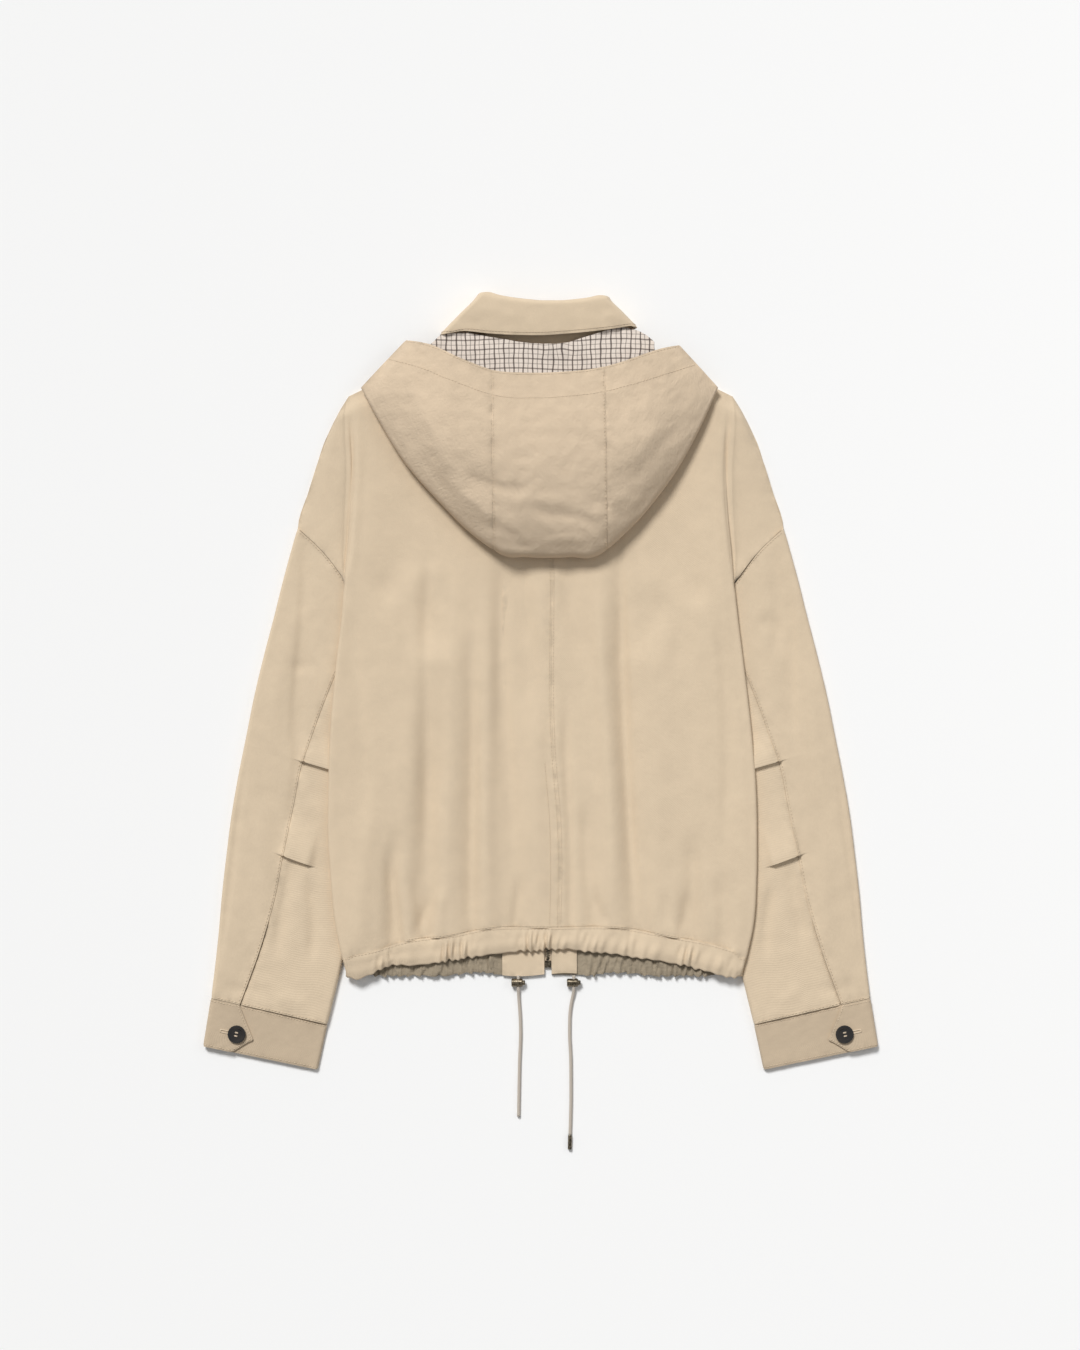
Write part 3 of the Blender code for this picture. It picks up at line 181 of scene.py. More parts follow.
# %% [markdown]
# ## Drawcords
#
# The hem's cord is a 3 mm round braid. Its two ends come out under the front hem, pass through a
# spring lock and lie loose on the surface; the right one ends in a crimped metal tip. A braid shows
# as two sets of strands that cross, so the tube gets its own chart, round and along, for the pattern.
#
# %% Two free cord ends
CORD_RADIUS = 1.5
CORD_POINTS = 90
CORD_ROUTES = {
    "left": ((-21.3, -279.8, 3.95), (-21.3, -286.8, 3.95), (-21.3, -291.4, 3.95), (-21.1, -297, 2.9),
             (-20.6, -304, 1.9), (-19.6, -318, 1.7), (-19.1, -335, 1.7), (-20.0, -360, 1.7),
             (-20.6, -388, 1.7), (-21.0, -414.5, 1.7)),
    "right": ((31.6, -279.8, 3.95), (31.6, -286.8, 3.95), (31.6, -291.4, 3.95), (31.2, -297, 2.9),
              (29.7, -304, 1.9), (27.9, -318, 1.7), (27.6, -335, 1.7), (28.7, -360, 1.7),
              (28.9, -395, 1.7), (28.0, -432.0, 1.7)),
}


def tube(name, points, radius, sides):
    """The mesh of a round tube, charted round (in turns) and along (in metres)."""
    ahead = np.gradient(points, axis=0)
    ahead /= np.linalg.norm(ahead, axis=1)[:, None]
    side_way = np.cross(ahead, (0, 0, 1))
    side_way /= np.linalg.norm(side_way, axis=1)[:, None]
    turns = np.linspace(0, 2 * pi, sides, endpoint=False)[None, :, None]
    around = np.cos(turns) * side_way[:, None] + np.sin(turns) * np.cross(side_way, ahead)[:, None]
    bm = bmesh.new()
    chart = bm.loops.layers.uv.new("UVMap")
    verts = [[bm.verts.new(point * MM) for point in ring] for ring in points[:, None] + radius * around]
    run = run_along(points) * MM
    for i in range(len(verts) - 1):
        for j in range(sides):
            corners = ((i, j), (i, j + 1), (i + 1, j + 1), (i + 1, j))
            face = bm.faces.new([verts[ring][k % sides] for ring, k in corners])
            for loop, (ring, k) in zip(face.loops, corners):
                loop[chart].uv = (k / sides, run[ring])
    bm.faces.new(verts[0])
    bm.faces.new(verts[-1][::-1])
    bmesh.ops.recalc_face_normals(bm, faces=bm.faces)
    mesh = mesh_of(bm, name)
    mesh.shade_smooth()
    return mesh


cords = []
for label, route in CORD_ROUTES.items():
    route = np.array(route, float)
    run = run_along(route)
    points = curve_through(run, route, np.linspace(0, run[-1], CORD_POINTS))
    name = "cord_" + label
    piece = add_piece(name, tube(name, points, CORD_RADIUS, 16), instead="drawcord_" + label)
    cords.append(piece)
    print("cord", label, round(float(run[-1])), "mm")

# %% [markdown]
# ## The garment's lines
#
# A pattern cutter works with lines: the outline, the crease where the body's side lies over the
# sleeve, the centre back seam, the armhole and the hood's two edges. They are tables of places in
# millimetres, read from the garment as it lies, and every piece of cloth is drawn between them.
#
# %% Tables of the lines
CLOTH = 1.6          # the room that one layer with its seam allowances takes up
CUFF_CLOTH = 2.0     # cuffs and hem casings
LINING = 1.0
WALL = 1.3           # walls as they are shown: thinner, so that puckers don't cut the next layer
FRONT_WALL = 1.4
CUFF_WALL = 1.7
CASING_WALL = 1.2
THIN_WALL = 0.8      # lining and facings
SEAM_GAP = 0.3
SLEEVE_HEIGHT = 7.1
RETURN_HEIGHT = SLEEVE_HEIGHT + 0.4   # the back's turned-under side passes over the sleeve
SIDE_FOLD_HEIGHT = 6.2
SIDE_TOP = RETURN_HEIGHT + SIDE_FOLD_HEIGHT
BACK_HEIGHT = 8.0
YOKE_HEIGHT = 9.2
SHOULDER_RIM = 2 * CLOTH + 0.6
NECK_LIFT = 5.0                       # the front rises over the collar leaves and the zip slider
FOLD_TOP_Y = 96.0                     # above it the side fold opens into the dropped shoulder
YOKE_Y = 250.0                        # from here on the yoke has its full height
OUTER_EDGE = (  # y, x
    (272, 182.0), (263, 190.0), (253, 196.2), (234, 204.3), (215, 210.5), (177, 222.3), (146, 231.4),
    (101, 244.2), (63, 253.7), (25, 263.6), (-13, 272.7), (-51, 280.3), (-89, 287.9), (-127, 294.5),
    (-165, 299.3), (-203, 303.6), (-241, 306.9), (-279, 311.1), (-301, 314.0), (-347, 321.5),
)
SIDE_FOLD = (  # y, left, right
    (322, 180, 179), (256, 180, 178), (193, 179, 176), (160, 181, 177.5), (130, 183, 180.5),
    (95, 186.8, 184), (58, 189.6, 188), (18, 194.4, 193), (-63, 201, 202), (-104, 202, 205),
    (-139, 202.4, 205.8), (-184, 200, 205.5), (-231, 195.3, 202.5), (-262, 189, 196),
)
CENTRE_SEAM = ((320, 9), (118, 10.8), (-75, 12.7), (-126, 17), (-262, 17.5))   # y, x
HEM_SEAM = (  # x, y of the back casing's upper stitch line
    (-196, -262), (-160, -256), (-128, -247), (-87, -242), (-50, -235), (9, -234), (82, -235),
    (120, -242), (164, -250), (203, -262),
)
SHOULDER_TIP = (231.4, 146.0)
UNDERARM = (118.0, 20.0)
SLEEVE_INNER_END = (203.0, -326.0)
NECK_POINT = (80.0, 322.0)
SHOULDER_END = (184.0, 271.0)
BACK_NECK_Y = 312.0
FRONT_NECK_Y = 262.0
ZIP_X = 7.0
ARMHOLE_BOW = 3.0
ARMHOLE_GAP = 0.5
BACK_FOLDS = (  # x at the yoke, x at the hem, y where it starts, half width, depth
    (-107, -108, 125, 10, 3.4), (-66, -68, 0, 9, 2.4), (-41, -26, 115, 12, 2.6), (35, 40, 110, 12, 1.4),
    (66, 90, 118, 11, 3.4), (-136, -142, -165, 9, 2.2), (148, 152, -120, 12, 1.6),
)
print("lines:", len(OUTER_EDGE), "places on the outline")

# %% [markdown]
# ## Functions for the lines
#
# The back's height follows what lies under it: two layers of cloth in the middle, the sleeve and a
# turned-under side near the crease, and the collar and the zip's slider at the neck.
#
# %% Seams, armhole and the back's height
outer_edge_x = through(OUTER_EDGE)
fold_x = {-1: through(SIDE_FOLD, 1), 1: through(SIDE_FOLD, 2)}
centre_seam_x = through(CENTRE_SEAM)
hem_seam_y = through(HEM_SEAM)
SHOULDER_SLOPE = (NECK_POINT[1] - SHOULDER_END[1]) / (SHOULDER_END[0] - NECK_POINT[0])


def sleeve_inner_x(y):
    return mix(UNDERARM[0], SLEEVE_INNER_END[0], (UNDERARM[1] - y) / (UNDERARM[1] - SLEEVE_INNER_END[1]))


def armhole_x(y, bowed=True):
    """The armhole seam, from the shoulder tip to the underarm, right side."""
    tip = np.array(SHOULDER_TIP)
    along = np.array(UNDERARM) - tip
    normal = np.array([along[1], -along[0]]) / np.linalg.norm(along)
    share = (tip[1] - y) / -along[1]
    for _ in range(8):     # the bow moves the point along, so its share is found again
        bow = armhole_bow(share) * bowed
        share = (tip[1] + normal[1] * bow - y) / -along[1]
    return tip[0] + along[0] * share + normal[0] * bow


def armhole_bow(share):
    return ARMHOLE_BOW * sin(pi * min(max(share / 0.4, 0.0), 1.0))


def top_line_y(x, neck_y):
    """Neckline and shoulder seam, as the upper edge of a front or a back."""
    reach = abs(x)
    if reach < NECK_POINT[0]:
        return mix(neck_y, NECK_POINT[1], (reach / NECK_POINT[0]) ** 2)
    return NECK_POINT[1] - (reach - NECK_POINT[0]) * SHOULDER_SLOPE


def neck_lift(x, y):
    """How far the front is lifted near the neck."""
    return NECK_LIFT * ease(185, 225, y) * (1 - ease(88, 128, abs(x - ZIP_X)))


def fold_depth(x, y):
    depth = 0.0
    for x_top, x_hem, y_start, half_width, full in BACK_FOLDS:
        centre = mix(x_top, x_hem, (y_start - y) / (y_start + 250))
        depth += full * ease(y_start, y_start - 110, y) * np.exp(-((x - centre) / half_width) ** 2)
    return depth


def back_height(x, y):
    """Outer face of the back's upper layer, above the surface."""
    side = 1 if x > centre_seam_x(y) else -1
    reach = abs(x)
    fold = fold_x[side](y)
    if y < UNDERARM[1]:
        support = min(sleeve_inner_x(y), fold - 4)
    elif y < FOLD_TOP_Y:
        support = min(armhole_x(y), fold - 4)
    else:
        support = fold - 4
    high = mix(SIDE_TOP, YOKE_HEIGHT, ease(FOLD_TOP_Y, YOKE_Y, y))
    swell = ease(support - 52, support - 3, reach)
    height = mix(BACK_HEIGHT, high, swell)
    calm = (1 - swell) * (1 - 0.45 * (abs(x - ZIP_X) < 45))
    return height - fold_depth(x, y) * calm + 1.0 * calm * ease(110, 0, y) + neck_lift(x, y)


print("back is %.1f mm high in the middle" % back_height(-20, -100))

# %% [markdown]
# ## A maker of effects
#
# What a surface looks like is a group of nodes with named inputs, so that the shell, the hood and the
# tapes can share it. This class lays the nodes of one group and links them.
#
# %% Shader groups with named sockets
class Effect:
    """A shader group with named sockets, built up node by node."""

    def __init__(self, name, inputs, outputs):
        self.tree = bpy.data.node_groups.new(name, "ShaderNodeTree")
        for label, value in inputs.items():
            colour = isinstance(value, tuple)
            socket = self.tree.interface.new_socket(
                name=label, in_out="INPUT", socket_type="NodeSocketColor" if colour else "NodeSocketFloat")
            socket.default_value = (*value, 1.0) if colour else value
        kinds = {"Colour": "NodeSocketColor", "Roughness": "NodeSocketFloat", "Normal": "NodeSocketVector"}
        for label in outputs:
            self.tree.interface.new_socket(name=label, in_out="OUTPUT", socket_type=kinds[label])
        self.given = self.tree.nodes.new("NodeGroupInput").outputs
        self.result = self.tree.nodes.new("NodeGroupOutput").inputs
        self.place = self.tree.nodes.new("ShaderNodeTexCoord").outputs

    def feed(self, socket, value):
        """Sets a socket to a number, or links another socket to it."""
        if isinstance(value, (int, float)):
            socket.default_value = value
        else:
            self.tree.links.new(value, socket)

    def node(self, kind, output, **inputs):
        """One node, with numbers or sockets for its named inputs; returns one of its outputs."""
        node = self.tree.nodes.new("ShaderNode" + kind)
        for label, value in inputs.items():
            self.feed(node.inputs[label], value)
        return node.outputs[output]

    def maths(self, operation, *values):
        node = self.tree.nodes.new("ShaderNodeMath")
        node.operation = operation
        for socket, value in zip(node.inputs, values):
            self.feed(socket, value)
        return node.outputs[0]

    def noise(self, chart, scale, detail, rough):
        return self.node("TexNoise", "Fac", Vector=self.place[chart], Scale=scale, Detail=detail,
                         Roughness=rough)

    def tint(self, value):
        """The given colour, with its brightness multiplied by a socket."""
        self.feed(self.result["Colour"],
                  self.node("HueSaturation", "Color", Color=self.given["Colour"], Value=value))

    def blend(self, share, first, second):
        """The result's colour goes from one given colour to another."""
        node = self.tree.nodes.new("ShaderNodeMix")
        node.data_type = "RGBA"
        for label, socket in (("Factor", share), ("A", self.given[first]), ("B", self.given[second])):
            self.feed(node.inputs[label], socket)
        self.feed(self.result["Colour"], node.outputs["Result"])

    def bump(self, height, strength, distance):
        self.feed(self.result["Normal"],
                  self.node("Bump", "Normal", Strength=strength, Distance=distance, Height=height))


print("effects have", len([name for name in vars(Effect) if name[0] != "_"]), "tools")

# %% [markdown]
# ## Cloth, braid and plating as effects
#
# Twill is woven with diagonal ribs under a millimetre apart. From this distance they give a dry,
# matt surface rather than a pattern, so the ribs are a fine bump, and what shows is the washing: soft
# blotches of lighter and darker cloth, and rubbed seams. The check's lines are woven, so they are
# broken by the yarn; a braid's strands cross; and plating wears off in small clouds.
#
# %% Twill, check, braid and aged surface
def washed_twill():
    twill = Effect("Washed twill", {"Colour": (0.6, 0.5, 0.4), "Rib pitch in metres": 0.0009, "Wash": 1.0,
                                    "Crinkle": 0.08}, ("Colour", "Roughness", "Normal"))
    maths = twill.maths
    ribs = twill.node("TexWave", "Fac", Vector=twill.place["UV"], Distortion=1.2, Detail=1.0,
                      Scale=maths("DIVIDE", 0.314, twill.given["Rib pitch in metres"]))
    ribs.node.bands_direction = "DIAGONAL"
    blotches, mottle = twill.noise("Object", 7.0, 4.0, 0.6), twill.noise("Object", 70.0, 5.0, 0.65)
    slubs, wrinkles = twill.noise("UV", 900.0, 2.0, 0.7), twill.noise("UV", 150.0, 3.0, 0.5)
    edge = twill.node("Attribute", "Fac")
    edge.node.attribute_name = "edge"
    uneven = maths("MULTIPLY", edge, maths("MULTIPLY_ADD", mottle, 0.9, -0.52))
    for source, range_ in ((blotches, 0.10), (mottle, 0.16), (slubs, 0.14), (ribs, 0.05)):
        uneven = maths("ADD", uneven, maths("MULTIPLY_ADD", source, range_, -range_ / 2))
    twill.tint(maths("ADD", maths("MULTIPLY", uneven, twill.given["Wash"]), 1.0))
    twill.feed(twill.result["Roughness"], maths("MULTIPLY_ADD", mottle, 0.12, 0.82))
    height = maths("MULTIPLY_ADD", ribs, 0.5, maths("MULTIPLY", slubs, 0.6))
    height = maths("MULTIPLY_ADD", mottle, 1.6, height)
    folded = maths("ABSOLUTE", maths("SUBTRACT", wrinkles, 0.5))
    crinkle = maths("MULTIPLY", folded, twill.given["Crinkle"])
    twill.bump(maths("MULTIPLY_ADD", crinkle, -18.0, height), 0.55, 0.0004)
    return twill.tree


def small_check():
    check = Effect("Small check", {"Ground": (0.8, 0.7, 0.65), "Lines": (0.05, 0.03, 0.02),
                                   "Repeat in metres": 0.0092}, ("Colour", "Normal"))
    maths = check.maths
    split = check.node("SeparateXYZ", "X", Vector=check.place["UV"]).node
    bands = []
    for axis, cover in (("X", -0.8), ("Y", -0.66)):
        turn = maths("FRACT", maths("DIVIDE", split.outputs[axis], check.given["Repeat in metres"]))
        fine = maths("MULTIPLY", maths("COMPARE", turn, 0.75, 0.05), 0.62)
        band = maths("ADD", maths("COMPARE", turn, 0.25, 0.075), fine)
        bands.append(maths("MULTIPLY_ADD", band, cover, 1.0))
    fleck = check.noise("UV", 1400.0, 2.0, 0.7)
    cover = maths("MULTIPLY", maths("MULTIPLY", *bands), maths("MULTIPLY_ADD", fleck, 0.4, 0.78))
    check.blend(cover, "Lines", "Ground")
    check.bump(fleck, 0.4, 0.0002)
    return check.tree


def round_braid():
    braid = Effect("Round braid", {"Colour": (0.45, 0.4, 0.33), "Strands": 5.0, "Pitch in metres": 0.009},
                   ("Colour", "Normal"))
    maths = braid.maths
    split = braid.node("SeparateXYZ", "X", Vector=braid.place["UV"]).node
    climb = maths("DIVIDE", split.outputs["Y"], braid.given["Pitch in metres"])
    strands = []
    for way in (1.0, -1.0):
        turn = maths("MULTIPLY_ADD", climb, way, split.outputs["X"])
        phase = maths("MULTIPLY", maths("MULTIPLY", turn, braid.given["Strands"]), 2 * pi)
        strands.append(maths("MULTIPLY_ADD", maths("SINE", phase), 0.5, 0.5))
    height = maths("MAXIMUM", *strands)
    # Painted shade: the colour darkens to two thirds in the grooves between the strands.
    braid.tint(maths("MULTIPLY_ADD", height, 0.42, 0.66))
    braid.bump(height, 0.8, 0.0006)
    return braid.tree


def aged_surface():
    aged = Effect("Aged surface", {"Colour": (0.2, 0.16, 0.1), "Worn colour": (0.4, 0.33, 0.22),
                                   "Grain size in metres": 0.002, "Roughness": 0.35},
                  ("Colour", "Roughness", "Normal"))
    maths = aged.maths
    cloud = aged.noise("Object", maths("DIVIDE", 1.0, aged.given["Grain size in metres"]), 5.0, 0.5)
    spread = maths("MULTIPLY_ADD", cloud, 2.4, -0.8)
    aged.blend(maths("MINIMUM", maths("MAXIMUM", spread, 0.0), 1.0), "Colour", "Worn colour")
    rough = maths("ADD", maths("MULTIPLY_ADD", cloud, 0.25, -0.12), aged.given["Roughness"])
    aged.feed(aged.result["Roughness"], rough)
    aged.bump(cloud, 0.15, 0.0002)
    return aged.tree


GROUPS = {"twill": washed_twill(), "check": small_check(), "braid": round_braid(), "aged": aged_surface()}
print("groups:", ", ".join(tree.name for tree in GROUPS.values()))

# %% [markdown]
# ## The materials
#
# The shell is a sandy beige, the hood's cloth a shade rosier and deeper, and the collar's inside and
# facings the same as the shell. Sewing thread is a little lighter than the cloth. Metal parts have a
# dark antique plating, and the buttons are polished black.
#
# %% Materials from the groups
def material(name, group, roughness=0.9, metallic=0.0, coat=0.0, **given):
    """A principled surface that takes its colour, roughness and normal from one of the groups."""
    made = bpy.data.materials.new(name)
    made.use_nodes = True
    tree = made.node_tree
    shader = tree.nodes["Principled BSDF"]
    fixed = {"Roughness": roughness, "Metallic": metallic, "Coat Weight": coat}
    if group != "aged":
        fixed.update({"Specular IOR Level": 0.25, "Sheen Weight": 0.12, "Sheen Roughness": 0.6})
    for label, value in fixed.items():
        shader.inputs[label].default_value = value
    effect = tree.nodes.new("ShaderNodeGroup")
    effect.node_tree = GROUPS[group]
    for label, value in given.items():
        value = (*value, 1.0) if isinstance(value, tuple) else value
        effect.inputs[label.replace("_", " ")].default_value = value
    for label, target in (("Colour", "Base Color"), ("Roughness", "Roughness"), ("Normal", "Normal")):
        if label in effect.outputs:
            tree.links.new(effect.outputs[label], shader.inputs[target])
    return made


SHELL = material("Sandy twill", "twill", Colour=(0.69, 0.555, 0.395))
HOOD = material("Hood twill", "twill", Colour=(0.645, 0.51, 0.365), Crinkle=0.3)
# Painted shade: a dark copy of the shell's twill stands in for the shadow under the back's casing.
HEM_SHADE_TWILL = material("Twill, painted shade of the front hem", "twill", Colour=(0.34, 0.28, 0.20), Crinkle=0.5)
CUFF = material("Cuff twill", "twill", Colour=(0.56, 0.445, 0.315))
CHECK = material("Checked lining", "check", Ground=(0.87, 0.77, 0.68), Lines=(0.045, 0.025, 0.02))
THREAD = material("Sewing thread", "aged", roughness=0.8, Colour=(0.62, 0.50, 0.36),
                  Worn_colour=(0.70, 0.58, 0.43))
BRAID = material("Drawcord braid", "braid", Colour=(0.62, 0.55, 0.47))
BRASS = material("Antique brass", "aged", metallic=1.0, Colour=(0.07, 0.058, 0.04),
                 Worn_colour=(0.42, 0.35, 0.25), Roughness=0.26)
HORN = material("Black button", "aged", coat=0.6, Colour=(0.010, 0.010, 0.011),
                Worn_colour=(0.03, 0.024, 0.02), Grain_size_in_metres=0.012, Roughness=0.2)
for piece in cords:
    piece.data.materials.append(BRAID)
print("materials:", len(bpy.data.materials))

# %% [markdown]
# ## How a piece of cloth is made
#
# A cut piece becomes a thin shell: the grid is its face, and its thickness goes inwards. Its chart
# measures the cloth itself, so the weave keeps its scale round every fold. Where a piece is sewn, its
# edge dips by half a millimetre and puckers, because thread draws cloth together unevenly.
#
# %% The cloth maker
def sewn_edges(grid, sides, dip=0.35, pucker=0.3, reach=0.11):
    """Dips and puckers a grid along the named sides, and brings each closer to its seam."""
    normals = outward(grid)
    across, along = run_along(grid, 1), run_along(grid)
    distance = {"first_column": across, "last_column": across[:, -1:] - across,
                "first_row": along, "last_row": along[-1:] - along}
    moved = grid.copy()
    for side in sides:
        gap = distance[side]
        run = along if "column" in side else across
        wave = np.sin(run / 1.45 + 1.3 * np.sin(run / 7.0)) * (0.6 + 0.4 * np.sin(run / 17.0))
        depth = dip * np.exp(-(gap / 1.8) ** 2) + pucker * wave * np.exp(-gap / 5.0)
        moved -= normals * depth[..., None]
    for side in sides:
        lines = moved.transpose(1, 0, 2) if "column" in side else moved
        edge, inside = (0, 1) if "first" in side else (-1, -2)
        out = lines[edge] - lines[inside]
        lines[edge] += out / np.linalg.norm(out, axis=1)[:, None] * reach
    return moved


def raised(grid, field):
    """Lifts the faces that look up by a height that depends on their place."""
    moved = grid.copy()
    moved[..., 2] += field(grid[..., 0], grid[..., 1]) * ease(0.25, 0.85, outward(grid)[..., 2])
    return moved


def cloth(name, grid, wall, finish, facing=1, chart_lines=None):
    """One cut piece: a charted shell in place of the solid of its name."""
    rows, columns = grid.shape[:2]
    grid[..., 2] = np.maximum(grid[..., 2], 0.0)
    across, along = run_along(grid, 1), run_along(grid)
    order = np.arange(rows * columns).reshape(rows, columns)
    quads = np.stack([order[:-1, :-1], order[:-1, 1:], order[1:, 1:], order[1:, :-1]], axis=-1).reshape(-1, 4)
    raw = np.cross(np.gradient(grid, axis=0), np.gradient(grid, axis=1))
    if (raw * outward(grid, facing)).sum() > 0:
        quads = quads[:, ::-1]
    mesh = bpy.data.meshes.new(name + "_cloth")
    mesh.from_pydata((grid.reshape(-1, 3) * MM).tolist(), [], quads.tolist())
    chart = mesh.uv_layers.new(name="UVMap")
    places = np.stack(chart_lines or (across, along), axis=-1).reshape(-1, 2)[quads.ravel()] * MM
    chart.data.foreach_set("uv", places.astype(np.float32).ravel())
    near = np.minimum(np.minimum(across, across[:, -1:] - across), np.minimum(along, along[-1:] - along))
    edge = mesh.attributes.new("edge", "FLOAT", "POINT")
    edge.data.foreach_set("value", np.exp(-near / 3.0).ravel().astype(np.float32))
    mesh.shade_smooth()
    ends = np.empty(len(mesh.edges) * 2, dtype=np.int32)
    mesh.edges.foreach_get("vertices", ends)
    rim = np.zeros(len(mesh.edges), bool)
    for place, last in zip(np.divmod(ends.reshape(-1, 2), columns), (rows - 1, columns - 1)):
        rim |= (place == 0).all(axis=1) | (place == last).all(axis=1)
    mesh.attributes.new("sharp_edge", "BOOLEAN", "EDGE").data.foreach_set("value", rim)
    piece = add_piece(name + "_cloth", mesh, finish, name)
    shell = piece.modifiers.new("Thickness", "SOLIDIFY")
    shell.thickness = wall * MM
    shell.offset = -1.0
    sides = np.cross(np.diff(grid, axis=0)[:, :-1], np.diff(grid, axis=1)[:-1])


# %% [markdown]
# ## Creases
#
# A crease in washed cotton is a soft ridge or trough with a steeper side. Each is a row of a table:
# where it starts and ends, how high it is and how wide on its two sides. They fade at their ends and
# wander a little, and a slow unevenness lies over everything, because cloth is never quite flat.
#
# %% Ridges, troughs and slow waves
def crease_field(table, x, y):
    """Height of all the creases of a table at places of the plan."""
    height = np.zeros_like(x)
    for x1, y1, x2, y2, rise, left, right in table:
        length = np.hypot(x2 - x1, y2 - y1)
        ahead_x, ahead_y = (x2 - x1) / length, (y2 - y1) / length
        run = ((x - x1) * ahead_x + (y - y1) * ahead_y) / length
        off = (x - x1) * -ahead_y + (y - y1) * ahead_x
        off = off + 0.12 * (left + right) * np.sin(run * 5.0 + x1)
        profile = np.exp(-(off / np.where(off > 0, left, right)) ** 2)
        height += rise * profile * ease(-0.15, 0.2, run) * ease(1.15, 0.75, run)
    return height


def slow_waves(x, y, seed, size=60.0):
    """Uneven rises and hollows between -1 and 1."""
    x, y = x / size, y / size
    a = np.sin(x * 2.1 + y * 0.7 + seed) * np.cos(y * 1.3 - x * 0.6 + 2 * seed)
    b = np.sin(x * 4.9 - y * 3.1 + 3 * seed) * np.cos(y * 5.3 + seed)
    return 0.65 * a + 0.35 * b


ridge = crease_field(((0, 0, 0, 90, 2, 6, 6),), np.array([4.0]), np.array([45.0]))
print("a 2 mm ridge is %.2f mm high beside its line" % ridge[0])

# %% [markdown]
# ## The two backs
#
# Each back is one cut piece from the centre seam to the side seam. Its top layer has the deep soft
# folds that the gathered hem sends upwards. At the crease it turns under, passes over the sleeve and
# comes down to the front. Above the underarm the crease opens into the dropped shoulder.
#
# %% Backs with folds and a turned-under side
HEM_BLEND_Y = -205.0
HEM_ENDS = (-185.9, 192.9)      # x where the back casing begins to wrap round the sides
HEM_END_Y = -262.3
CROSSING_Y = 94.0      # here the armhole meets the fold, and the wall stands on the sleeve
BACK_ROWS = [-262.0, -254.0, -246.0, -238.0, -230.0, -222.0, -214.0, HEM_BLEND_Y, -198.0,
             *np.arange(-190.0, 10.0, 6.0), 13.0, 19.0, 22.0, 27.0, 33.0, *np.arange(40.0, 80.0, 5.0),
             84.0, CROSSING_Y, 101.0, *np.arange(107.0, 146.0, 5.0), *np.arange(146.0, 207.0, 5.0)]
SHOULDER_SHARES = np.linspace(0, 1, 17)[1:]
BACK_COLUMNS = np.linspace(0, 1, 66)
FOLD_RADIUS = SIDE_FOLD_HEIGHT / 2
SIDE_FOLD_TURNS = np.array((22, 45, 68, 90, 112, 135, 158, 172))
STEP_SHARES = np.linspace(0, 1, 9)[1:]
STEP_WIDTH = 8.0
SIDE_DROP = (  # past the sleeve's inner edge: x from that edge, height
    (1.5, RETURN_HEIGHT), (-2.6, RETURN_HEIGHT - 0.6), (-5.2, 2.0), (-8.0, 0.0), (-12.0, 0.0),
)
DROP_TOP_Y = 40.0
SHOULDER_FALL = ((0.3, 0.0), (0.55, 0.08), (0.75, 0.3), (0.9, 0.65), (1.0, 1.0))   # across, fall


def fold_start(side, row_y):
    """X at which the flat top layer begins to turn round the side fold."""
    return fold_x[side](row_y) - FOLD_RADIUS


def side_drop(side, row_y):
    """Where the return layer ends: on the floor below the underarm, on the armhole above it."""
    begin = fold_start(side, row_y)
    edge, closed, spread = min(sleeve_inner_x(row_y), begin - 3.0), 0.0, 0.0
    if row_y >= UNDERARM[1]:
        edge = armhole_x(row_y)
        closed = min((row_y - UNDERARM[1] + 1) / (DROP_TOP_Y - UNDERARM[1] + 1), 1.0) ** 0.8
        spread = min(2.0, 0.8 * (begin - edge))
    return [(edge + mix(across, spread * (1 - i / 4), closed), row_y, mix(height, RETURN_HEIGHT, closed))
            for i, (across, height) in enumerate(SIDE_DROP)]


def step_point(share, soft, flat_end, top, low):
    """A place on the crease above the underarm: sharp at its lower end, a slope at its upper end."""
    turn = radians(90) * min(1.0, share / 0.6)
    beyond = max(0.0, (share - 0.6) / 0.4)
    hard_x = flat_end + FOLD_RADIUS * sin(turn) + 0.9 * beyond**2
    hard_z = mix(top - FOLD_RADIUS * (1 - cos(turn)), low, ease(0, 1, beyond))
    soft_z = mix(top, low, ease(0, 1, share))
    return mix(hard_x, flat_end + STEP_WIDTH * share, soft), mix(hard_z, soft_z, soft)


def back_section(side, row_y):
    """One section of a back panel: centre seam, side fold, then what lies beyond the fold."""
    flat_end = fold_start(side, row_y)
    flat = mix(side * centre_seam_x(row_y) + SEAM_GAP / 2, flat_end, BACK_COLUMNS)
    points = [(x, row_y, back_height(side * x, row_y)) for x in flat]
    top = points[-1][2]
    if row_y <= CROSSING_Y:
        opened = 90.0 / SIDE_FOLD_TURNS[-1] if row_y == CROSSING_Y else 1.0
        turned = arc(flat_end, top - FOLD_RADIUS, FOLD_RADIUS, SIDE_FOLD_TURNS * opened)
        points += [(x, row_y, z) for x, z in turned]
        if row_y < CROSSING_Y:
            return points + side_drop(side, row_y)
        x, z = turned[-1]
        return points + [(x, row_y, mix(RETURN_HEIGHT, z, share)) for share in (0.8, 0.6, 0.4, 0.2, 0.0)]
    end = armhole_x(row_y) if row_y < SHOULDER_TIP[1] else outer_edge_x(row_y)
    low = mix(SLEEVE_HEIGHT, YOKE_HEIGHT, ease(150, YOKE_Y, row_y)) + neck_lift(flat_end, row_y)
    low += 1.4 * ease(130, 101, row_y)
    soft = 0.3 * ease(96, 200, row_y) + 0.7 * ease(205, 262, row_y)
    for share in STEP_SHARES:
        x, z = step_point(share, soft, flat_end, top, low)
        points.append((min(x, end - 0.6 + 0.3 * share), row_y, z))
    begin = points[-1][0]
    rim = mix(low, SHOULDER_RIM, ease(SHOULDER_TIP[1] - 12, SHOULDER_TIP[1], row_y))
    return points + [(mix(begin, end, across), row_y, mix(low, rim, fall)) for across, fall in SHOULDER_FALL]


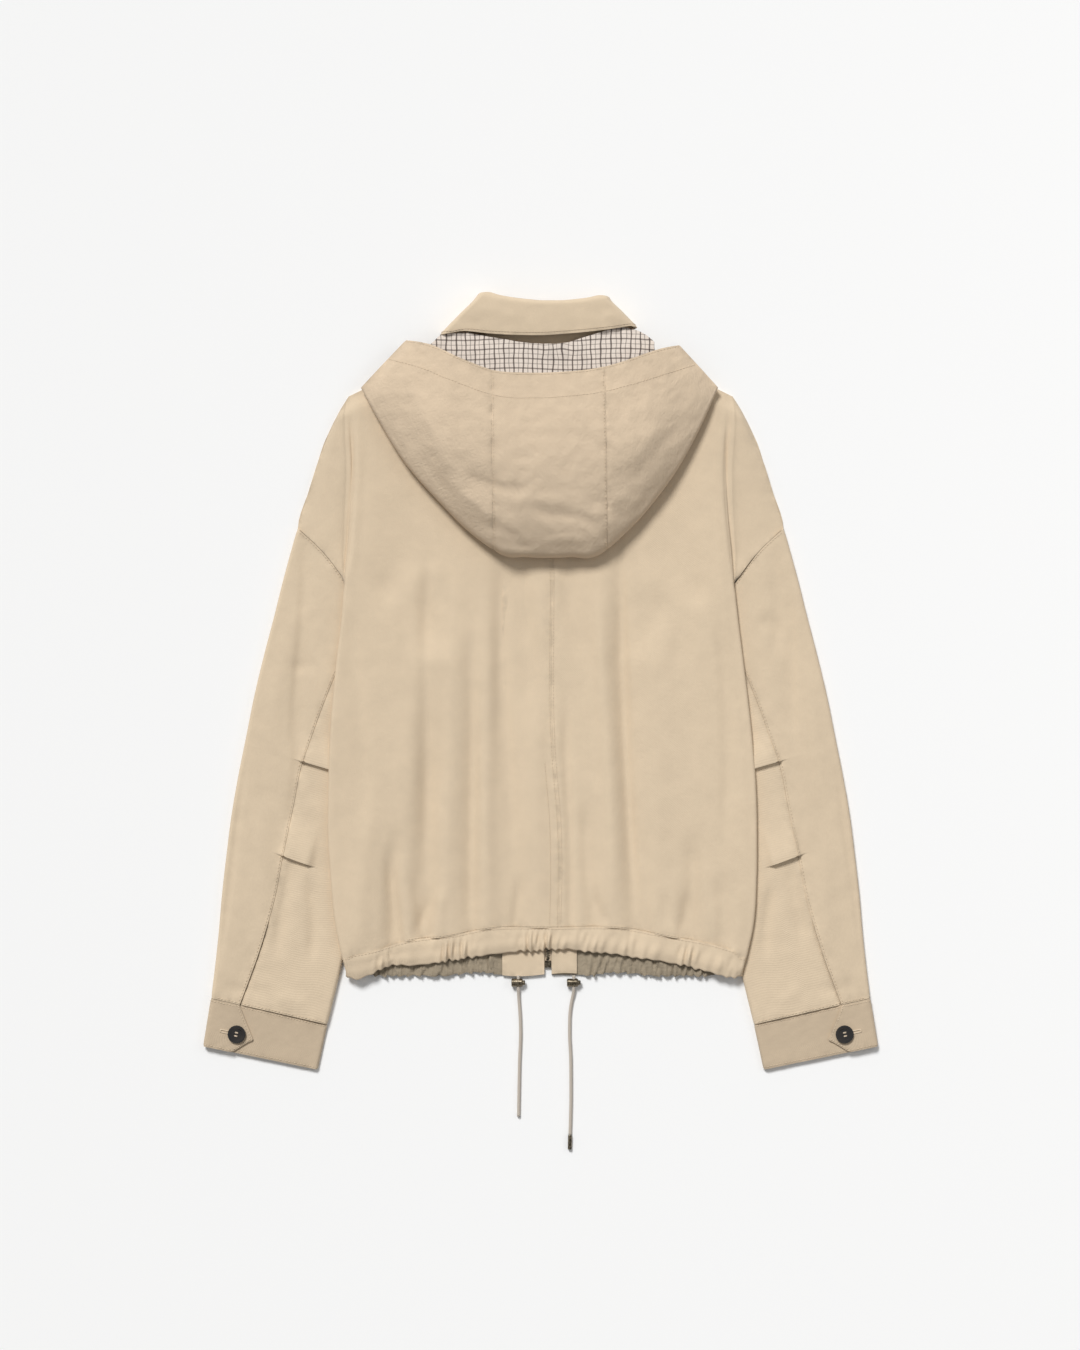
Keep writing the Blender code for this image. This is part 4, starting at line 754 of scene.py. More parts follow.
def hem_line(x):
    """The hem seam on the back; near the sides it drops to the casing's end."""
    from_end = np.minimum(x - HEM_ENDS[0], HEM_ENDS[1] - x)
    return mix(hem_seam_y(x), HEM_END_Y, ease(9, 1, from_end))


def back_grid(side):
    """The outer face of one back, row by row from the hem to the shoulder and neckline."""
    sections = [back_section(side, y) for y in BACK_ROWS]
    for row_y, section in zip(BACK_ROWS, sections):
        share = (HEM_BLEND_Y - row_y) / (HEM_BLEND_Y - BACK_ROWS[0])
        if share > 0:
            for k, (x, y, z) in enumerate(section[:len(BACK_COLUMNS)]):
                section[k] = (x, mix(HEM_BLEND_Y, hem_line(side * x), share), z)
    base_y = BACK_ROWS[-1]
    for share in SHOULDER_SHARES:
        corner_y = mix(base_y, SHOULDER_END[1], share)
        section = []
        for x, _, z in back_section(side, corner_y):
            line = top_line_y(x, BACK_NECK_Y)
            y = mix(base_y, line, share)
            height = back_height(side * x, y) if x < fold_x[side](corner_y) - 4 else z
            if x > NECK_POINT[0]:
                height = mix(height, SHOULDER_RIM + neck_lift(side * x, y), ease(16, 0, line - y) ** 0.8)
            section.append((x, y, height))
        sections.append(section)
    return mirrored(sections, side)


print(len(BACK_ROWS) + len(SHOULDER_SHARES), "rows on each back")

# %% [markdown]
# ## Gathers
#
# The cord draws the hem together in clusters, so its ridges stand close in some places and wide apart
# in others. One wave serves both the casing and the ripples that it sends up the backs.
#
# %% Uneven gathers and crumpled cloth
GATHERS_BACK = 40
GATHER_PLACES = np.arange(2 * GATHERS_BACK + 1)     # ridges and dents in turn
GATHER_CLUSTERS = (  # x, how tightly the casing is gathered there
    (-190, 0.5), (-165, 0.25), (-155, 0.95), (-141, 0.95), (-130, 0.35), (-104, 0.4), (-96, 1.0),
    (-66, 1.0), (-55, 0.35), (-26, 0.4), (-17, 1.0), (18, 1.0), (28, 0.35), (40, 0.8), (60, 0.8),
    (72, 0.35), (84, 0.8), (94, 0.7), (108, 0.3), (126, 0.4), (132, 0.9), (148, 0.9), (160, 0.4),
    (175, 0.8), (190, 0.9),
)
gathering = through(GATHER_CLUSTERS)


def gather_wave(index, seed):
    """An uneven height between 0 and 1 for each ridge or dent of the gathers."""
    uneven = 0.5 + 0.5 * np.sin(index * 1.7 + seed) * np.cos(index * 0.61 + 2 * seed)
    return np.where(index % 2, 0.55 + 0.45 * uneven, 0.2 * uneven)


def gather_places(left, right):
    """Places of the ridges and dents, closer together where the cloth is gathered tightly."""
    fine = np.linspace(left, right, 400)
    run = np.insert(np.cumsum(0.5 + gathering((fine[1:] + fine[:-1]) / 2)), 0, 0.0)
    return np.interp(np.linspace(0, run[-1], len(GATHER_PLACES)), run, fine)


def wave_between(place, seed):
    """The gathers' height at a place counted in ridges and dents, with soft slopes between them."""
    index = np.minimum(np.floor(place), 2 * GATHERS_BACK - 1)
    return mix(gather_wave(index, seed), gather_wave(index + 1, seed), ease(0, 1, place - index))


def crumple(x, y, size, seed):
    """Small uneven creases between -1 and 1, as thin cloth keeps after washing."""
    pairs = np.stack([np.ravel(x), np.ravel(y)], axis=1) / size
    flat = np.array([noise_at((a, b, seed)) for a, b in pairs])
    fine = np.array([noise_at((2.3 * b, 2.3 * a, seed + 5)) for a, b in pairs])
    return (0.7 * (1 - 2.6 * np.abs(flat)) + 0.5 * fine).reshape(np.shape(x))


print(GATHERS_BACK, "gathers along the back's hem")

# %% [markdown]
# ## The backs' creases
#
# Most creases run up from the gathers; others cross the yoke and follow the side folds. Each back is
# drawn, creased and then sewn along the centre seam and the hem.
#
# %% Creases and the finished backs
BACK_CREASES = (  # x, y start; x, y end; rise; width left, width right
    (-84, 80, -88, -240, 2.2, 12, 10), (-52, 60, -50, -250, 1.9, 8, 9), (-1, 90, -3, -250, 1.5, 9, 10),
    (58, 100, 68, -240, 2.6, 14, 8), (104, 80, 112, -240, 1.3, 16, 12),
    (-128, -40, -124, -250, 1.5, 10, 12), (-139, -150, -142, -262, -2.4, 7, 7),
    (142, -150, 146, -262, -2.2, 7, 8), (172, -190, 172, -262, -1.8, 8, 7),
    (-165, -120, -172, -255, 1.4, 9, 12), (26, -20, 27, -258, -2.2, 5, 7),
    (44, -120, 50, -258, -1.9, 6, 7), (-18, 125, -8, -30, -3.0, 12, 20), (24, 122, 40, 20, -1.6, 10, 10),
    (-150, 95, -120, 20, -1.6, 14, 10), (150, 92, 128, 15, -1.5, 14, 10),
    (-175, 60, -168, -120, -1.4, 6, 12), (172, 60, 178, -150, -1.4, 12, 6),
    (95, 110, 150, 60, 1.2, 12, 16), (-95, 110, -150, 62, 1.2, 16, 12),
    (-107, 118, -110, -150, -1.6, 6, 7), (-66, 20, -64, -250, -1.7, 5, 6),
    (-38, 116, -28, -160, -1.8, 7, 8), (74, 118, 90, -220, -2.6, 5, 7),
    (-118, -190, -110, -262, -1.6, 5, 6), (-147, -170, -130, -256, -1.8, 4, 5),
    (-21, -190, -24, -248, -1.7, 4, 4), (-104, -205, -119, -242, -1.5, 4, 5),
    (49, -205, 64, -232, -1.2, 4, 4), (119, -200, 127, -236, -1.2, 4, 5),
    (140, -206, 131, -240, -1.2, 5, 4), (-96, -200, -100, -262, 1.5, 5, 5),
    (98, -150, 104, -262, -1.3, 6, 7), (122, -190, 126, -262, 1.3, 6, 6),
)


def back_relief(x, y):
    """Ripples above the gathers, the creases, and a trough beside a ridge along the side fold."""
    place = np.interp(x, gather_places(*HEM_ENDS), GATHER_PLACES)
    ripple = wave_between(place, 0.3) * (0.3 + 0.7 * gathering(x)) - 0.3
    height = 1.5 * crease_field(BACK_CREASES, x, y) * ease(150, 100, y)
    height += ripple * ease(-215, -262, y) ** 1.6
    height += 0.5 * slow_waves(x, y, 0.4) + 0.25 * crumple(x, y, 26.0, 1.0)
    off = np.where(x < 0, -x - fold_x[-1](y), x - fold_x[1](y))
    crease = 0.9 * np.exp(-((off + 6) / 3.5) ** 2) - 1.3 * np.exp(-((off + 0.5) / 1.8) ** 2)
    height += crease * ease(90, 120, y) * ease(262, 222, y)
    return height * ease(8, 20, np.abs(x - centre_seam_x(y)) + 8)


BACKS = {}
for side, label in SIDES:
    grid = raised(refine(back_grid(side), 3.2, 1), back_relief)
    grid = sewn_edges(grid, ("first_column",))
    BACKS[side] = sewn_edges(grid, ("first_row",), dip=0.15, pucker=0.1, reach=0.4)
    cloth("back_" + label, BACKS[side], WALL, SHELL)

# %% [markdown]
# ## The fronts
#
# The fronts lie face down on the surface and carry the rest. They show only from below and at the
# hem, so they stay flat, with their seams at the sides and the zip's channel between them.
#
# %% Fronts, flat on the surface
FRONT_HEM_SEAM_Y = -252.0
FRONT_ROWS = (-225, -180, -110, -40, 19, 28, 44, 80, 115, 146, 185, 205, 225)
FRONT_COLUMNS = np.array((0.0, 0.2, 0.4, 0.52, 0.64, 0.76, 0.88, 1.0))
FRONT_TOP_SHARES = (0.3, 0.62, 1.0)
ZIP_CHANNEL = 3.4


def side_seam_x(side, y):
    """Edge of the front along the side seam, the underarm, the armhole and the shoulder."""
    rows = [row for row in BACK_ROWS if row < UNDERARM[1]]
    ends = [side_drop(side, row)[-1][0] for row in rows]
    if y < rows[-1]:
        return float(np.interp(y, rows, ends)) - SEAM_GAP
    if y < SHOULDER_TIP[1]:
        above = armhole_x(max(y, 44.0), bowed=False)
        return float(np.interp(y, (rows[-1], 28.0, 44.0), (ends[-1] - SEAM_GAP, ends[-1], above)))
    return outer_edge_x(y)


def front_grid(side):
    """The lower face of one front, from the hem seam to the neckline and the shoulder."""
    places = [(y, 0.0) for y in (FRONT_HEM_SEAM_Y, *FRONT_ROWS)]
    places += [(FRONT_ROWS[-1], share) for share in FRONT_TOP_SHARES]
    rows = []
    for row_y, share in places:
        side_x = side_seam_x(side, mix(row_y, SHOULDER_END[1], share))
        row = [(x, mix(row_y, top_line_y(x, FRONT_NECK_Y), share))
               for x in mix(side * ZIP_X + ZIP_CHANNEL, side_x, FRONT_COLUMNS)]
        rows.append([(x, y, neck_lift(side * x, y)) for x, y in row])
    return mirrored(rows, side)


for side, label in SIDES:
    cloth("front_" + label, refine(refine(front_grid(side), 7.0, 1), 8.0, 0), FRONT_WALL, SHELL, facing=-1)

# %% [markdown]
# ## Sleeves
#
# A sleeve is cut in two halves that meet at the back seam, which ends in the cuff's slit. The under
# half has two tucks in that seam, at the elbow and below it, which let the arm bend: above each one
# the cloth stands a few millimetres higher, and it drops sharply at the fold.
#
# %% Sleeves with tucks
SLEEVE_SECTIONS = (  # y at outer fold, y at inner fold, back seam's share of the width
    (146, 20, 0.58), (105, -10, 0.553), (60, -35, 0.50), (15, -58, 0.465), (-25, -80, 0.438),
    (-58, -97, 0.412), (-61, -100, 0.41), (-100, -143, 0.413), (-145, -191, 0.409), (-148, -194, 0.408),
    (-190, -232, 0.40), (-245, -279, 0.34), (-301, -326, 0.248),
)
SLEEVE_SHARES = np.linspace(0, 1, 26)
SLEEVE_TURNS = (18, 54, 90, 126, 162)
ARMHOLE_WAY = np.array([0.745, -0.667])     # from the body towards the sleeve
TUCKS = (  # y where the fold crosses the outer edge, lift, shares of the width over which it fades
    (-59.8, 4.2, 0.9, 0.5), (-146.8, 4.6, 0.42, 0.31),
)
TUCK_STEPS = (-3, -1.4, -0.5, -0.1, 0.3, 0.7, 1.5, 3)
SLEEVE_ROWS = sorted({*np.linspace(SHOULDER_TIP[1], -301.0, 96),
                      *(tuck[0] + step for tuck in TUCKS for step in TUCK_STEPS)}, reverse=True)


def sleeve_path(width, seam, part):
    """Half of the flattened tube in (across, height), from the back seam round to the floor seam."""
    radius = SLEEVE_HEIGHT / 2
    way, start, centre = (-1, seam, radius) if part == "top" else (1, seam + SEAM_GAP, width - radius)
    return [*((mix(start, centre, share), SLEEVE_HEIGHT) for share in SLEEVE_SHARES),
            *arc(centre, radius, radius, SLEEVE_TURNS, way),
            (centre, 0.0), (width * 0.5 + way * SEAM_GAP / 2, 0.0)]


def tube_points(path, start, end, bow=0.0):
    """Stands a flat path up between two points of the plan."""
    width = np.linalg.norm(end - start)
    along = (end - start) / width
    normal = np.array([along[1], -along[0]])
    points = []
    for across, height in path:
        push = bow * armhole_bow(min(max(across / width, 0.0), 1.0)) * (height > SLEEVE_HEIGHT / 2)
        points.append((*(start + along * across + normal * push), height))
    return points


def tuck_lift(outer_y, share):
    """How high the tucks stand: each swells down to its fold, then drops under it."""
    lift = 0.0
    for tuck, full, wide, narrow in TUCKS:
        if outer_y - tuck > -0.3:
            lift += full * float(ease(46, 2, outer_y - tuck)) ** 1.4 * float(ease(wide, narrow, share))
    return lift


def sleeve_grid(side, part):
    """The outer face of one half of a sleeve, from the armhole to the cuff."""
    outer_ys, inner_ys = np.array(SLEEVE_SECTIONS)[::-1, :2].T
    seam_share = through(SLEEVE_SECTIONS, 2)
    rows = []
    for outer_y in SLEEVE_ROWS:
        inner_y = np.interp(outer_y, outer_ys, inner_ys)
        at_armhole = float(ease(105, SHOULDER_TIP[1], outer_y))
        shift = ARMHOLE_WAY * ARMHOLE_GAP * at_armhole
        start = np.array([outer_edge_x(outer_y), outer_y]) + shift
        end = np.array([sleeve_inner_x(inner_y), inner_y]) + shift
        width = np.linalg.norm(end - start)
        path = sleeve_path(width, width * seam_share(outer_y), part)
        points = np.array(tube_points(path, start, end, at_armhole))
        flat = points[:len(SLEEVE_SHARES)]
        if part == "under":
            flat[:, 2] += [tuck_lift(outer_y, share) for share in SLEEVE_SHARES]
        else:
            from_seam = np.linalg.norm(flat[:, :2] - flat[0, :2], axis=1)
            flat[:, 2] += tuck_lift(outer_y, 0.0) * np.exp(-from_seam / 2.2)
        rows.append(points)
    return mirrored(rows, side)


print(len(SLEEVE_ROWS), "rows on each half of a sleeve")

# %% [markdown]
# ## The sleeves' creases
#
# Long soft creases run down from the shoulder, and short ones lie above the cuff. The body's side
# hides the inner part of the sleeve, which stays smooth.
#
# %% Creases and the finished sleeves
SLEEVE_CREASES = {  # x, y start; x, y end; rise; width on its two sides
    -1: ((226, 134, 235, -50, -1.9, 2.6, 12), (232, -30, 238, -141, -1.5, 4, 8),
         (281, -85, 307, -270, -1.3, 5, 3), (219, -188, 217, -265, -2.4, 5, 7),
         (240, 60, 256, -60, 1.2, 9, 9), (262, -120, 268, -240, 1.2, 9, 10),
         (214, 20, 236, 10, -1.2, 6, 6), (300, -292, 262, -296, -1.2, 5, 6),
         (250, -300, 222, -308, 1.2, 6, 6), (240, -172, 250, -255, -2.6, 5, 8)),
    1: ((236, 90, 244, -60, -1.8, 3, 11), (283, -80, 305, -265, -1.3, 5, 3),
        (222, 120, 226, 30, -1.6, 8, 6), (218, -195, 214, -262, -2.2, 6, 5),
        (258, 20, 266, -110, 1.3, 10, 8), (268, -150, 276, -250, 1.2, 9, 9),
        (210, 60, 232, 44, -1.2, 6, 7), (298, -288, 266, -294, -1.2, 5, 6),
        (246, -296, 226, -304, 1.3, 6, 6), (240, -176, 249, -250, -2.4, 5, 8)),
}


def sleeve_relief(side):
    def relief(x, y):
        x = np.abs(x)
        crease_x = np.where(y < FOLD_TOP_Y, fold_x[side](y), 0.0)   # it hides the sleeve's inner part
        height = crease_field(SLEEVE_CREASES[side], x, y) + 0.3 * crumple(x, y, 24.0, side + 8.0)
        return ease(-5, 14, x - (crease_x - 6)) * (height + 0.5 * slow_waves(x, y, side + 4.0, 45.0))
    return relief


sleeve_grids = {}
for side, label in SIDES:
    for part, seam_dip, swell, reach in (("top", 0.15, 0.8, 3.0), ("under", 0.8, -1.0, 1.6)):
        grid = raised(refine(sleeve_grid(side, part), 3.4, 1), sleeve_relief(side))
        grid = sewn_edges(grid, ("first_row", "last_row"), dip=0.3, reach=0.2)
        grid = sewn_edges(grid, ("first_column",), dip=seam_dip)
        grid[..., 2] += swell * np.exp(-run_along(grid, 1) / reach) * ease(-226, -234, grid[..., 1])
        sleeve_grids[side, part] = grid
        cloth("sleeve_%s_%s" % (part, label), grid, WALL, SHELL)

# %% [markdown]
# ## Cuffs
#
# A cuff is one stiff band, wound round the wrist and lapped. Its end is cut to a point and sewn all
# round; the button holds the point near the slit.
#
# %% Cuffs, one wound band each
CUFF_OUTER = ((314.0, -301.0), (7.5, -46.0))     # at the sleeve's end, and from there to the lower edge
CUFF_INNER = (SLEEVE_INNER_END, (9.4, -43.5))
CUFF_TIP = 46.0                  # point of the overlap, from the outer fold
CUFF_SHOULDER = 28.0             # where the point starts at the cuff's two edges
CUFF_UNDERLAP = 20.0
CUFF_POINT = 0.64                # the tip's share of the cuff's length
CUFF_TOP = 7.6
CUFF_UNDER_TOP = 5.3


def cuff_ends(share):
    return [np.array(corner) + np.array(drop) * share for corner, drop in (CUFF_OUTER, CUFF_INNER)]


def cuff_path(width, share):
    """The band from its pointed overlap, round under the wrist and back to its hidden end."""
    from_tip = abs(share - CUFF_POINT) / (CUFF_POINT if share < CUFF_POINT else 1 - CUFF_POINT)
    tip = mix(CUFF_TIP, CUFF_SHOULDER, from_tip)
    radius, small = CUFF_TOP / 2, CUFF_UNDER_TOP / 2
    return [(tip, CUFF_TOP), (tip * 0.55, CUFF_TOP), (radius, CUFF_TOP),
            *arc(radius, radius, radius, (30, 60, 90, 120, 150), -1),
            (radius, 0.0), (width * 0.5, 0.0), (width - small, 0.0),
            *arc(width - small, small, small, (150, 90, 30)),
            *((across, CUFF_UNDER_TOP) for across in (width - small, width * 0.6, CUFF_UNDERLAP))]


def cuff_grid(side):
    """The outer face of a cuff, from its pointed end round the wrist to its hidden end."""
    rows = []
    for share in sorted({*np.linspace(0, 1, 9), CUFF_POINT}):
        gap = np.array([0.15, -0.6]) * (1 - share)
        start, end = (place + gap for place in cuff_ends(share))
        rows.append(tube_points(cuff_path(np.linalg.norm(end - start), share), start, end))
    return mirrored(rows, side)


cuff_grids = {}
for side, label in SIDES:
    grid = refine(refine(cuff_grid(side), 2.4, 1), 2.4, 0)
    grid = raised(grid, lambda x, y: 0.22 * slow_waves(x, y, side + 1.0, 14.0))
    cuff_grids[side] = sewn_edges(grid, ("first_row", "last_row", "first_column"), dip=0.4, pucker=0.16)
    cloth("cuff_" + label, cuff_grids[side], CUFF_WALL, CUFF)

# %% [markdown]
# ## The hood
#
# Three panels make the hood. It lies thrown back, so its outer face looks up: from the opening's
# edge the cloth rises over the pouch, rolls under at the lower edge and returns to the neck. The
# pouch stands up softly, and the rolled edge sags under its own weight.
#
# %% The way over the pouch and back
HOOD_OPENING = (  # u, x, y
    (-1.0, -127.7, 324.5), (-0.8, -106, 319.7), (-0.52, -72, 304), (-0.36, -46.5, 294.5),
    (-0.1, -6, 291.5), (0.14, 30, 293), (0.40, 60.4, 297.5), (0.66, 88, 306), (0.86, 113, 315),
    (1.0, 131.5, 319.8),
)
HOOD_BOTTOM = (  # u, x, y
    (-1.0, -170.6, 279.0), (-0.88, -155, 250), (-0.72, -127, 205), (-0.58, -96, 170), (-0.46, -68, 142),
    (-0.36, -45, 125), (-0.1, -12, 118), (0.14, 26, 118), (0.40, 63.5, 125.5), (0.50, 87, 147),
    (0.62, 108, 171), (0.74, 129, 200), (0.88, 151, 240), (1.0, 168.5, 279.0),
)
HOOD_SEAM_LEFT = -0.36
HOOD_SEAM_RIGHT = 0.40
HOOD_PUFF = (  # share of the way from the opening to the pouch's edge, share of the full rise
    (0.0, 0.46), (0.12, 0.62), (0.3, 0.86), (0.5, 1.0), (0.68, 0.97), (0.82, 0.80), (0.93, 0.50),
    (1.0, 0.2),
)
HOOD_RISE = 30.0
HOOD_NECK_X = (-103.0, 113.0)
LINING_EDGE = (  # x, y of the lining's puffed edge below the collar
    (-106, 322), (-97, 327), (-74, 330.5), (-46, 326.5), (-6, 320.7), (26, 321.7), (46, 328), (86, 334.5),
    (101, 328), (111.5, 318.5), (117, 313),
)
HOOD_SHARES = (0.0, 0.12, 0.3, 0.5, 0.68, 0.82, 0.93, 0.985)
HOOD_ROLL = 5.4
opening_line, pouch_line = ([through(table, k) for k in (1, 2)] for table in (HOOD_OPENING, HOOD_BOTTOM))
hood_puff = through(HOOD_PUFF)
lining_edge_y = through(LINING_EDGE)


def hood_floor(x, y):
    """The level on which the hood's lower layer lies."""
    return back_height(np.clip(x, -176.0, 176.0), min(y, 312.0)) + 1.5


def hood_path(u):
    """Plan points and heights of the outer shell, from the opening over the pouch to the neck."""
    edge, pouch = (np.array([at(u) for at in line]) for line in (opening_line, pouch_line))
    neck_x = mix(*HOOD_NECK_X, (u + 1) / 2)
    neck = np.array([neck_x, lining_edge_y(neck_x) - 6.5])
    rise = HOOD_RISE * (1 - abs(u) ** 3.2) + 1.5
    layers = 2 * CLOTH + 0.4 + (2 * LINING + 1.2) * ease(1.0, 0.93, abs(u))
    points = []
    for share in HOOD_SHARES:
        place = mix(edge, pouch, share)
        points.append((*place, hood_floor(*place) + layers + rise * hood_puff(share)))
    inward = (edge - pouch) / np.linalg.norm(edge - pouch)
    low, high = hood_floor(*pouch), points[-1][2]
    for back, share in ((0.0, 0.5), (1.8, 0.16), (HOOD_ROLL, 0.0)):
        points.append((*(pouch + inward * back), mix(low, high, share)))
    for share in (0.2, 0.4, 0.6, 0.8, 1.0):
        place = mix(pouch + inward * HOOD_ROLL, neck, share)
        points.append((*place, hood_floor(*place)))
    return np.array(points)


def inward_offset(points, wall):
    """Moves a path towards the inside of the hood, in the upright plane from opening to pouch."""
    heading = points[len(HOOD_SHARES), :2] - points[0, :2]
    heading /= np.linalg.norm(heading)
    steps = np.diff(points, axis=0)
    along = np.linalg.norm(steps[:, :2], axis=1) * np.sign(steps[:, :2] @ heading)
    flat = np.stack([along, steps[:, 2]], axis=1)
    flat /= np.linalg.norm(flat, axis=1)[:, None]
    normals = np.stack([flat[:, 1], -flat[:, 0]], axis=1)
    joined = np.vstack([normals[:1], normals[:-1] + normals[1:], normals[-1:]])
    joined /= np.linalg.norm(joined, axis=1)[:, None]
    return points + np.column_stack([joined[:, :1] * heading, joined[:, 1]]) * wall


print("the hood's top is %.0f mm above the surface" % hood_path(0)[:, 2].max())

# %% [markdown]
# ## The hood's panels
#
# The panels share the hood's form and meet at two seams. Diagonal creases run from their corners to
# the seams, and thin washed cloth keeps small creases everywhere.
#
# %% Panels of the hood
HOOD_PANELS = {"hood_side_left": (-1.0, HOOD_SEAM_LEFT), "hood_centre": (HOOD_SEAM_LEFT, HOOD_SEAM_RIGHT),
               "hood_side_right": (HOOD_SEAM_RIGHT, 1.0)}


def hood_grid(first, last):
    """The outer face of a panel; each row runs from the opening over the pouch to the neck."""
    rows = [hood_path(u) for u in np.linspace(first, last, 45)]
    if first > -1:
        rows[0][:, 0] += SEAM_GAP / 2 + 0.05
    if last < 1:
        rows[-1][:, 0] -= SEAM_GAP / 2 + 0.05
    return np.array(rows)


HOOD_CREASES = (  # x, y start; x, y end; rise; width left, width right
    (-122, 272, -66, 160, 2.4, 10, 7), (-138, 262, -92, 178, -1.8, 8, 9),
    (-104, 290, -60, 220, -1.3, 9, 12), (-70, 192, -16, 180, -2.0, 5, 8), (-74, 180, -46, 152, 1.6, 5, 5),
    (-60, 150, -20, 138, -1.6, 4, 6), (-4, 160, 56, 150, -2.2, 5, 6), (-30, 172, 30, 168, 1.3, 6, 6),
    (46, 172, 82, 154, -2.0, 5, 6), (70, 206, 118, 238, 1.8, 9, 9), (84, 186, 136, 246, -1.6, 8, 8),
    (66, 240, 112, 290, -1.2, 12, 10), (-10, 286, -6, 210, -0.9, 10, 12), (26, 282, 30, 205, 0.8, 12, 10),
    (-32, 250, 40, 236, -0.8, 14, 12), (2, 132, 46, 134, 1.3, 4, 4), (-40, 130, -8, 128, -1.3, 4, 4),
    (88, 160, 104, 176, -1.4, 5, 5),
)


def hood_relief(x, y):
    unevenness = 0.8 * crumple(x, y, 17.0, 3.0) + 0.35 * crumple(x, y, 8.0, 5.0)
    return crease_field(HOOD_CREASES, x, y) + 0.7 * slow_waves(x, y, 1.1, 34.0) + unevenness


hood_grids = {}
for name, (first, last) in HOOD_PANELS.items():
    grid = raised(refine(hood_grid(first, last), 3.0, 1), hood_relief)
    seams = ["first_row"] * (first > -1) + ["last_row"] * (last < 1)
    grid = sewn_edges(grid, seams, dip=0.4, pucker=0.4, reach=0.17)
    hood_grids[name] = sewn_edges(grid, ("first_column",), dip=0.6, pucker=0.2, reach=0)
    cloth(name, hood_grids[name], WALL, HOOD)

# %% [markdown]
# ## The lining
#
# The hood is lined with a thin small check. It lies against the shell inside the pouch and shows on
# the hood's lower layer, between the opening and the collar, where its edge is eased in and puffs up.
# Its chart is the cloth's own length and width, so the check bends with every pucker.
#
# %% Checked lining with a puffed edge
LINING_ENDS = (-0.94, 0.95)   # u


def lining_grid():
    """The lining's face towards the shell, 0.3 mm inside it."""
    rows = []
    for u in np.linspace(*LINING_ENDS, 70):
        path = inward_offset(hood_path(u), CLOTH + SEAM_GAP)
        x, y, z = path[-1]
        x, y = x - 9.0 * ease(0.75, 0.94, -u), y - 8.0 * ease(0.85, 0.94, -u)
        rows.append(np.vstack([path[:-1], (x, y + 3.0, z + 1.2), (x, y + 6.5, z + 1.5)]))
    return np.array(rows)


def lining_relief(x, y):
    """Puckers of the eased edge, strongest beside the seam."""
    near = ease(296, 318, y) * ease(342, 336, y)
    pucker = 1 + np.sin(x / 2.3 + 1.6 * np.sin(x / 13.0) + y / 9.0)
    pucker *= 0.3 + 0.7 * np.exp(-((x - 18) / 22) ** 2)
    return near * (1.7 * pucker + 0.5 * (1 + slow_waves(x, y, 0.9, 18.0)))


grid = refine(refine(lining_grid(), 3.0, 0), 2.4, 1)
upper = np.arange(grid.shape[1]) < np.argmin(grid[grid.shape[0] // 2, :, 1])
grid = raised(grid, lambda x, y: (hood_relief(x, y) - 0.3) * upper[None, :])
grid[..., 2] += lining_relief(grid[..., 0], grid[..., 1]) * ~upper[None, :]
x, y = grid[..., 0], grid[..., 1]
pinched = np.exp(-((x - 20) / 17) ** 2) * ease(298, 330, y) * ~upper
unfolded = np.where(upper, 2 * y.min(axis=1)[:, None] - y, y)
chart_lines = (x + 1.2 * slow_waves(x, y, 2.2, 22.0) + 2.4 * pinched * np.sin((x - 20) / 4.6 + y / 15),
               unfolded + 0.9 * np.sin(x / 16.0) + 2.0 * pinched * np.cos(x / 6.0))
cloth("hood_lining", grid, THIN_WALL, CHECK, chart_lines=chart_lines)

# %% [markdown]
# ## The collar
#
# The collar stands up from the neckline, rolls over and falls on the lining. It is one grid of rings
# round the neck. Its edge is stitched 3 mm in, which flattens it, and its roll is soft.
#
# %% Collar with a soft roll
ROLL_LINE = (  # x, y
    (-100, 366), (-57, 369.5), (-30, 365), (11, 361.5), (40, 363.5), (62, 366.3), (100, 364),
)
COLLAR_EDGE = (  # x, y
    (-100, 329), (-84, 332), (-45, 329.5), (-6, 328), (40, 331), (87, 336), (100, 337),
)
COLLAR_SIDES = {-1: ((-57.0, 369.6), (-96.0, 329.6)), 1: ((63.0, 366.5), (92.0, 336.8))}   # at roll, edge
COLLAR_RINGS = (   # share of the fall, inset, side inset, height at the back and in front
    (0.0, 7.0, 7.0, 14.4, 6.2), (0.0, 1.8, 4.6, 14.9, 5.7), (0.0, 0.0, 1.0, 18.2, 3.1),
    (0.0, 1.6, -2.4, 21.8, 0.4), (0.12, 0.0, 0.0, 23.2, 0.0), (0.5, 0.0, 0.0, 23.8, 0.0),
    (1.0, 0.0, 0.0, 23.6, 0.0),
)
NECK_RINGS = ((0.0, 11.4, 9.0), (0.55, 11.6, 8.8), (0.98, 12.6, 7.6))   # share, back, front height
NECK_FORM = (   # at the neckline and below the roll: half width, back's y, sides' y, front ends' x and y
    (60.0, 312.6, 320.0, 4.5, 264.0), (52.0, 352.1, 354.0, 13.5, 275.0),
)
COLLAR_ACROSS = (0.0, 0.1, 0.22, 0.36, 0.5, 0.64, 0.78, 0.9, 1.0)
LEAF_END = ((15.0, 288.0), (34.0, 256.0))   # x and y of the leaf's front end at the roll, and at its point
roll_y = through(ROLL_LINE)
collar_edge_y = through(COLLAR_EDGE)


